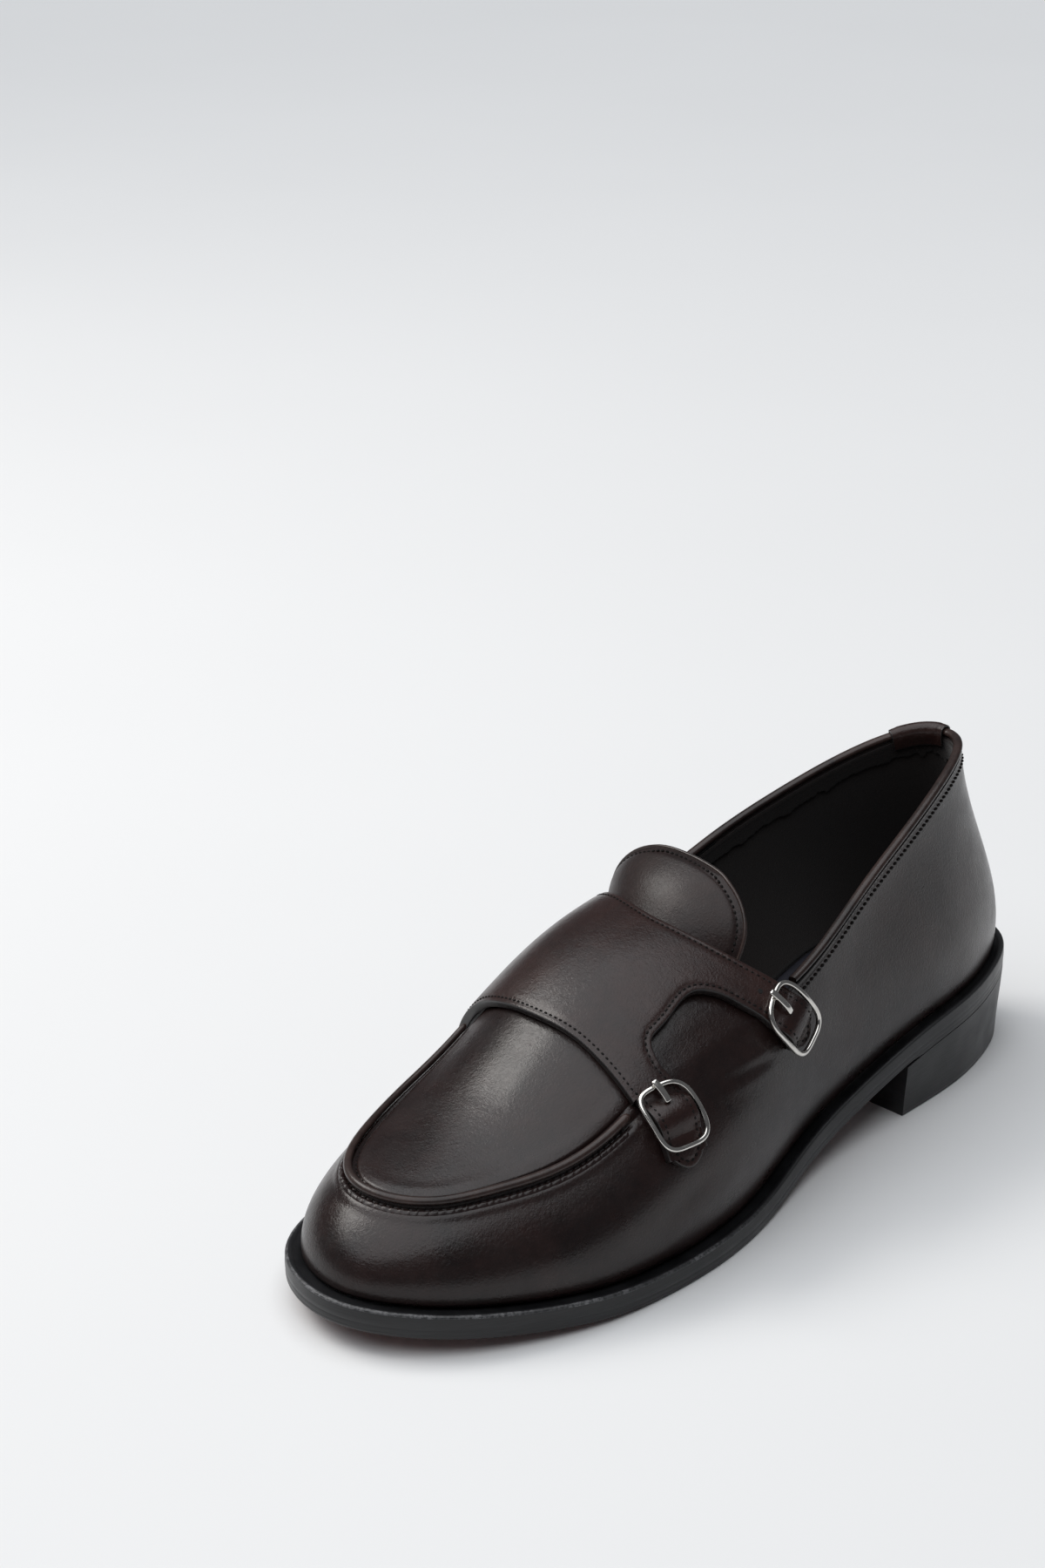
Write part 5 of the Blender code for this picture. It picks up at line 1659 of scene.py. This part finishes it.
class LOAFER_OT_strap(bpy.types.Operator):
    """Strap with its window, its two buckled tails, punched holes and stitching"""
    bl_idname = "loafer.strap"
    bl_label = "Strap"

    def execute(self, context):
        scene = context.scene
        sheet = strap_sheet(scene.loafer_mesh)
        points, _, _, loop = sheet
        distance = edge_distance(points, points[loop])
        top = strap_top(distance)
        low = np.full(len(points), STRAP_LIFT * 0.45)
        strap = leather_sheet("leather_strap", sheet, top, low, scene.loafer_leather.edge,
                              (strap_leather(), edge_paint("edge_paint")))
        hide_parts("strap")
        self.stitches(scene.loafer_stitches, sheet)
        self.holes()
        return {"FINISHED"}

    def stitches(self, looks, sheet):
        """One row all around the strap, and a second row at its sewn medial end."""
        lift = float(strap_top(looks.inset)) + looks.width * 0.15
        around_path, around_up = row_from_loop(sheet, looks.inset, lift)
        around_path = np.concatenate((around_path, around_path[:1]))
        around_up = np.concatenate((around_up, around_up[:1]))
        rows = [stitch_mesh(around_path, around_up, looks.pitch, looks.width, seed=7)]
        medial, medial_up = row_from_loop(sheet, MEDIAL_ROW, float(strap_top(MEDIAL_ROW)) + 0.0001,
                                          lambda line: line[:, 0] < MEDIAL_SIDE)
        rows.append(stitch_mesh(medial[10:-10], medial_up[10:-10], 0.0022, looks.width, seed=8))
        points, faces = join_meshes(rows)
        piece = new_piece("strap_stitches", points, faces, (thread("dark_thread"),))

    def holes(self):
        """Punched holes, each a disc of painted shade on the strap's face: one under each prong and a spare
        one on the rear strap.
        """
        parts = []
        turns = np.linspace(0.0, 2 * math.pi, HOLE_SIDES, endpoint=False)
        for which, along in zip(HOLES["buckle"], HOLES["along"]):
            place = buckle_place(which)
            lift = STRAP_LIFT + STRAP_THICKNESS + dome(along) + 0.0001
            rings = []
            for radius, height in ((HOLE_RADIUS, lift - 0.0004), (HOLE_RADIUS - 0.0001, lift)):
                rings.append(place(along + radius * np.cos(turns), radius * np.sin(turns),
                                   np.full(HOLE_SIDES, height)))
            faces = []
            for k in range(HOLE_SIDES):
                m = (k + 1) % HOLE_SIDES
                faces.append((k, m, HOLE_SIDES + m, HOLE_SIDES + k))
            faces += [tuple(range(HOLE_SIDES, 2 * HOLE_SIDES)), tuple(range(HOLE_SIDES))[::-1]]
            parts.append((np.concatenate(rings), faces))
        points, faces = join_meshes(parts)
        # The discs are painted shade: the strap has no opening under them
        piece = new_piece("strap_holes", points, faces, (hole_shade("hole_shade"),))


class LOAFER_OT_buckles(bpy.types.Operator):
    """Two wire buckles with their bars and prongs"""
    bl_idname = "loafer.buckles"
    bl_label = "Buckles"

    def execute(self, context):
        for which, name in enumerate(BUCKLES["name"]):
            self.buckle(which, name)
            self.prong(which, name)
        return {"FINISHED"}

    def buckle(self, which, name):
        """Rounded frame with bulging sides, and its lower centre bar."""
        place = buckle_place(which)
        height = STRAP_LIFT + STRAP_THICKNESS + GAP + WIRE / 2
        turns = np.linspace(0.0, 2 * math.pi, 168, endpoint=False)
        power = 2 / BUCKLE_SQUARE
        s = np.sign(np.cos(turns)) * np.abs(np.cos(turns)) ** power * (BUCKLE_LENGTH - WIRE) / 2
        w = np.sign(np.sin(turns)) * np.abs(np.sin(turns)) ** power * (BUCKLE_WIDTH - WIRE) / 2
        s, w = even_loop(s, w, len(turns))
        centre = place(s, w, np.full(len(s), height))
        ups = place(s, w, np.full(len(s), height + SMALL)) - centre
        ring = sweep_mesh(centre, ups, oval(WIRE * 0.84, WIRE * 0.86, 20, 2.7), True)
        w = np.array(BAR_SHAPE["across"]) * (BUCKLE_WIDTH - WIRE) / 2
        at = np.linspace(w[0], w[-1], 41)
        dip = np.interp(at, w, BAR_SHAPE["dip"]) * BAR_DIP
        centre = place(np.zeros(len(at)), at, height - dip)
        ups = np.repeat((place(SMALL, 0.0, height) - place(-SMALL, 0.0, height))[None], len(at), 0)
        bar = sweep_mesh(centre, ups, oval(BAR, BAR, 14), False)
        points, faces = join_meshes((ring, bar))
        piece = new_piece("wire_buckle_" + name, points, faces, (steel("polished_steel"),))
        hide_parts("buckle_" + name)

    def prong(self, which, name):
        """Flat prong from the hole to its rest on the frame."""
        place = buckle_place(which)
        top = STRAP_LIFT + STRAP_THICKNESS + GAP
        rest = top + WIRE + PRONG_HEIGHT / 2
        along = np.linspace(1.0, 0.0, 33)
        rise = np.interp(along, PRONG_SHAPE["along"][::-1], PRONG_SHAPE["rise"][::-1])
        rise = np.convolve(np.pad(rise, 2, mode="edge"), np.full(5, 0.2), "valid")
        s = PRONG_LENGTH * along - BUCKLE_LENGTH / 2 - PRONG_OVERHANG
        start = top + dome(s[0]) + PRONG_HEIGHT / 2 + GAP
        lift = start + (rest - start) * rise
        w = np.zeros(len(s))
        centre = place(s, w, lift)
        ups = place(s, w, lift + SMALL) - centre
        section = rounded_ends(oval(PRONG_WIDTH, PRONG_HEIGHT, 16, 3.2), 0.0005, centre)
        points, faces = sweep_mesh(centre, ups, section, False)
        piece = new_piece("wire_prong_" + name, points, faces, (steel("polished_steel"),))
        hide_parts("prong_" + name)


def even_loop(s, w, count):
    """The same closed curve with even steps."""
    s = np.append(s, s[0])
    w = np.append(w, w[0])
    length = running(np.hypot(np.diff(s), np.diff(w)))
    at = np.linspace(0.0, length[-1], count, endpoint=False)
    return np.interp(at, length, s), np.interp(at, length, w)


class LOAFER_OT_tongue(bpy.types.Operator):
    """Tongue with its bound edge and stitching"""
    bl_idname = "loafer.tongue"
    bl_label = "Tongue"

    def execute(self, context):
        scene = context.scene
        sheet = tongue_sheet()
        points, _, _, loop = sheet
        distance = edge_distance(points, points[loop])
        tongue = leather_sheet("leather_tongue", sheet, tongue_top(distance), np.full(len(points), 0.0001),
                               scene.loafer_leather.edge, (tongue_leather(), edge_paint("edge_paint")))
        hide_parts("tongue")

        def shown(line):
            return share_at(line[:, 1]) < TONGUE_ROOT - 0.03

        path, ups = row_from_loop(sheet, -0.0003, 0.0012, shown)
        section = oval(0.0013, 0.0022, 12, 2.4)
        places, faces = sweep_mesh(path, ups, section, False)
        edge = new_piece("tongue_binding", places, faces, (trim_leather(),))
        looks = scene.loafer_stitches
        row, ups = row_from_loop(sheet, TONGUE_ROW, float(tongue_top(TONGUE_ROW)) + 0.0001, shown)
        places, faces = stitch_mesh(row, ups, looks.pitch, looks.width, seed=21)
        rows = new_piece("tongue_stitches", places, faces, (thread("dark_thread"),))
        return {"FINISHED"}


class LOAFER_OT_collar(bpy.types.Operator):
    """Rolled binding of the collar, its stitches and the tab over the back seam"""
    bl_idname = "loafer.collar"
    bl_label = "Collar and heel tab"

    def execute(self, context):
        looks = context.scene.loafer_stitches
        angles = collar_angles(700)
        middle, up, _ = rim_frame(angles)
        rise = GAP * 1.5 + BINDING_HEIGHT / 2
        path = middle + up * rise
        points, faces = sweep_mesh(path, up, oval(BINDING_WIDTH, BINDING_HEIGHT, 16, 2.2), False)
        binding = new_piece("rolled_binding", points, faces, (trim_leather(),))
        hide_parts("collar_binding")
        self.band(angles)
        place, out = below_seam(collar_angles(900), COLLAR_ROW)
        points, faces = stitch_mesh(place + out * 0.0003, out, 0.0021, looks.width, seed=31)
        rows = new_piece("collar_stitches", points, faces, (thread("dark_thread"),))
        self.tab(looks)
        return {"FINISHED"}

    def band(self, angles):
        """Suede facing just inside the collar's rim."""
        rng = np.random.default_rng(17)
        ragged = np.convolve(rng.normal(0.0, 0.0005, len(angles) + 8), np.full(9, 1 / 3), "valid")
        rows = []
        for down in np.linspace(0.0006, 0.0062, 12):
            place, outward = below_seam(angles, down + ragged * smooth(down, 0.004, 0.0062))
            rows.append(place - outward * (WALL + 0.0002))
        sheet = open_mesh(np.concatenate(rows), grid_faces(len(rows), len(angles), True))
        lift = np.zeros(len(sheet[0]))
        facing = suede("suede_facing")
        piece = leather_sheet("collar_facing", sheet, lift + 0.0004, lift - 0.0004, 0.0001, (facing, facing))

    def tab(self, looks):
        """Tab folded over the binding at the back of the heel and down the back seam."""
        speed = np.linalg.norm(top_line(TAB_MIDDLE + SMALL) - top_line(TAB_MIDDLE - SMALL)) / (2 * SMALL)
        angles = TAB_MIDDLE + np.linspace(-0.5, 0.5, 41) * TAB_WIDTH / speed
        middle, up, outward = rim_frame(angles)
        wide = BINDING_WIDTH / 2 + GAP
        tall = GAP * 1.5 + BINDING_HEIGHT + GAP
        rows = [middle + outward * out * wide + up * rise * tall
                for out, rise in zip(TAB_FOLD["out"], TAB_FOLD["rise"])]
        height = (top_line(TAB_MIDDLE) - feather(np.array((TAB_MIDDLE,)))[0])[0, 2]
        across = np.linspace(-1.0, 1.0, len(angles))
        for drop in np.linspace(0.0, 1.0, 48):
            fall = TAB_DROP * drop * (1 - 0.10 * across ** 4 * drop)
            face = wall_point(angles, 1 - fall / height)
            clear = GAP + (wide - WALL / 2 - GAP) * (1 - smooth(fall, 0.0, TAB_SETTLE))
            rows.append(face + outward * clear[:, None])
        sheet = open_mesh(np.concatenate(rows), grid_faces(len(rows), len(angles)))
        points, _, _, loop = sheet
        distance = edge_distance(points, points[loop])
        lift = TAB_THICKNESS - 0.0003 + 0.0003 * smooth(distance, 0.0, 0.002) \
            - 0.00018 * bump_at(distance, TAB_ROW, 0.0005)
        piece = leather_sheet("back_tab", sheet, lift, np.full(len(points), 0.0001), 0.0003,
                              (strap_leather(), edge_paint("edge_paint")))
        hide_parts("heel_tab")
        row, ups = row_from_loop(sheet, TAB_ROW, TAB_THICKNESS - 0.0002,
                                 lambda line: line[:, 2] < TOP_BACK_HEIGHT * COLLAR_HEIGHT - 0.002)
        outer = (row - middle.mean(0)) @ outward[len(outward) // 2] > 0
        places, faces = stitch_mesh(row[outer], ups[outer], looks.pitch, looks.width, seed=41)
        rows = new_piece("tab_stitches", places, faces,
                         (thread("dark_thread"),))


class LOAFER_OT_studio(bpy.types.Operator):
    """Pale floor, soft lights and the photograph's camera"""
    bl_idname = "loafer.studio"
    bl_label = "Studio"

    def execute(self, context):
        studio = context.scene.loafer_studio
        half = studio.floor_size / 2
        mesh = bpy.data.meshes.new("floor")
        mesh.from_pydata([(-half, -half, 0), (half, -half, 0), (half, half, 0), (-half, half, 0)], [],
                         [(0, 1, 2, 3)])
        mesh.materials.append(studio_floor("studio_floor"))
        floor = bpy.data.objects.new("floor", mesh)
        context.scene.collection.objects.link(floor)
        sun = bpy.data.lights.new("overhead", "SUN")
        sun.angle = studio.spread
        sun.energy = studio.overhead
        sun.color = OVERHEAD_TONE
        self.aim(sun, OVERHEAD_PLACE, OVERHEAD_TARGET)
        softbox = bpy.data.lights.new("softbox", "AREA")
        softbox.shape = "RECTANGLE"
        softbox.size, softbox.size_y = SOFTBOX_SIZE
        softbox.energy = studio.softbox
        softbox.color = SOFTBOX_TONE
        self.aim(softbox, SOFTBOX_PLACE, SOFTBOX_TARGET)
        world = bpy.data.worlds.new("surroundings")
        world.use_nodes = True
        background = world.node_tree.nodes["Background"]
        background.inputs["Color"].default_value = (*SKY_TONE, 1.0)
        background.inputs["Strength"].default_value = studio.sky
        context.scene.world = world
        context.scene.view_settings.view_transform = "Standard"
        self.camera(context.scene)
        return {"FINISHED"}

    def aim(self, data, place, target):
        """Places a light and turns it to its target."""
        lamp = bpy.data.objects.new(data.name, data)
        lamp.location = place
        lamp.rotation_euler = (Vector(target) - Vector(place)).to_track_quat("-Z", "Y").to_euler()
        bpy.context.scene.collection.objects.link(lamp)

    def camera(self, scene):
        """Camera at the photograph's place and angle."""
        data = bpy.data.cameras.new("photo_camera")
        data.lens = CAMERA_LENS
        data.sensor_width = CAMERA_SENSOR
        data.clip_start = CAMERA_NEAR
        data.clip_end = CAMERA_FAR
        camera = bpy.data.objects.new("photo_camera", data)
        turned = [(*row, 0.0) for row in (CAMERA_RIGHT, CAMERA_UP, CAMERA_BACK)]
        camera.matrix_world = Matrix((*turned, (*CAMERA_PLACE, 1.0))).transposed()
        scene.collection.objects.link(camera)
        scene.camera = camera


STEPS = (LOAFER_OT_studio, LOAFER_OT_sole, LOAFER_OT_insole, LOAFER_OT_upper, LOAFER_OT_apron_trim,
         LOAFER_OT_tongue, LOAFER_OT_strap, LOAFER_OT_buckles, LOAFER_OT_collar)


class LOAFER_PT_panel(bpy.types.Panel):
    """Sidebar panel with the settings and one button for each group of pieces"""
    bl_idname = "LOAFER_PT_panel"
    bl_label = "Loafer"
    bl_space_type = "VIEW_3D"
    bl_region_type = "UI"
    bl_category = "Loafer"

    def draw(self, context):
        for name in GROUPS:
            group = getattr(context.scene, name)
            box = self.layout.box()
            for key in group.__annotations__:
                box.prop(group, key)
        for step in STEPS:
            self.layout.operator(step.bl_idname)


GROUPS = {
    "loafer_mesh": LoaferMesh,
    "loafer_leather": LoaferLeather,
    "loafer_stitches": LoaferStitches,
    "loafer_studio": LoaferStudio,
}
CLASSES = tuple(GROUPS.values()) + STEPS + (LOAFER_PT_panel,)


def register():
    for item in CLASSES:
        bpy.utils.register_class(item)
    for name, group in GROUPS.items():
        setattr(bpy.types.Scene, name, bpy.props.PointerProperty(type=group))


def unregister():
    for name in GROUPS:
        delattr(bpy.types.Scene, name)
    for item in reversed(CLASSES):
        bpy.utils.unregister_class(item)


def main():
    register()
    bpy.ops.loafer.studio()
    bpy.ops.loafer.sole()
    bpy.ops.loafer.insole()
    bpy.ops.loafer.upper()
    bpy.ops.loafer.apron_trim()
    bpy.ops.loafer.tongue()
    bpy.ops.loafer.strap()
    bpy.ops.loafer.buckles()
    bpy.ops.loafer.collar()


if __name__ == "__main__":
    main()
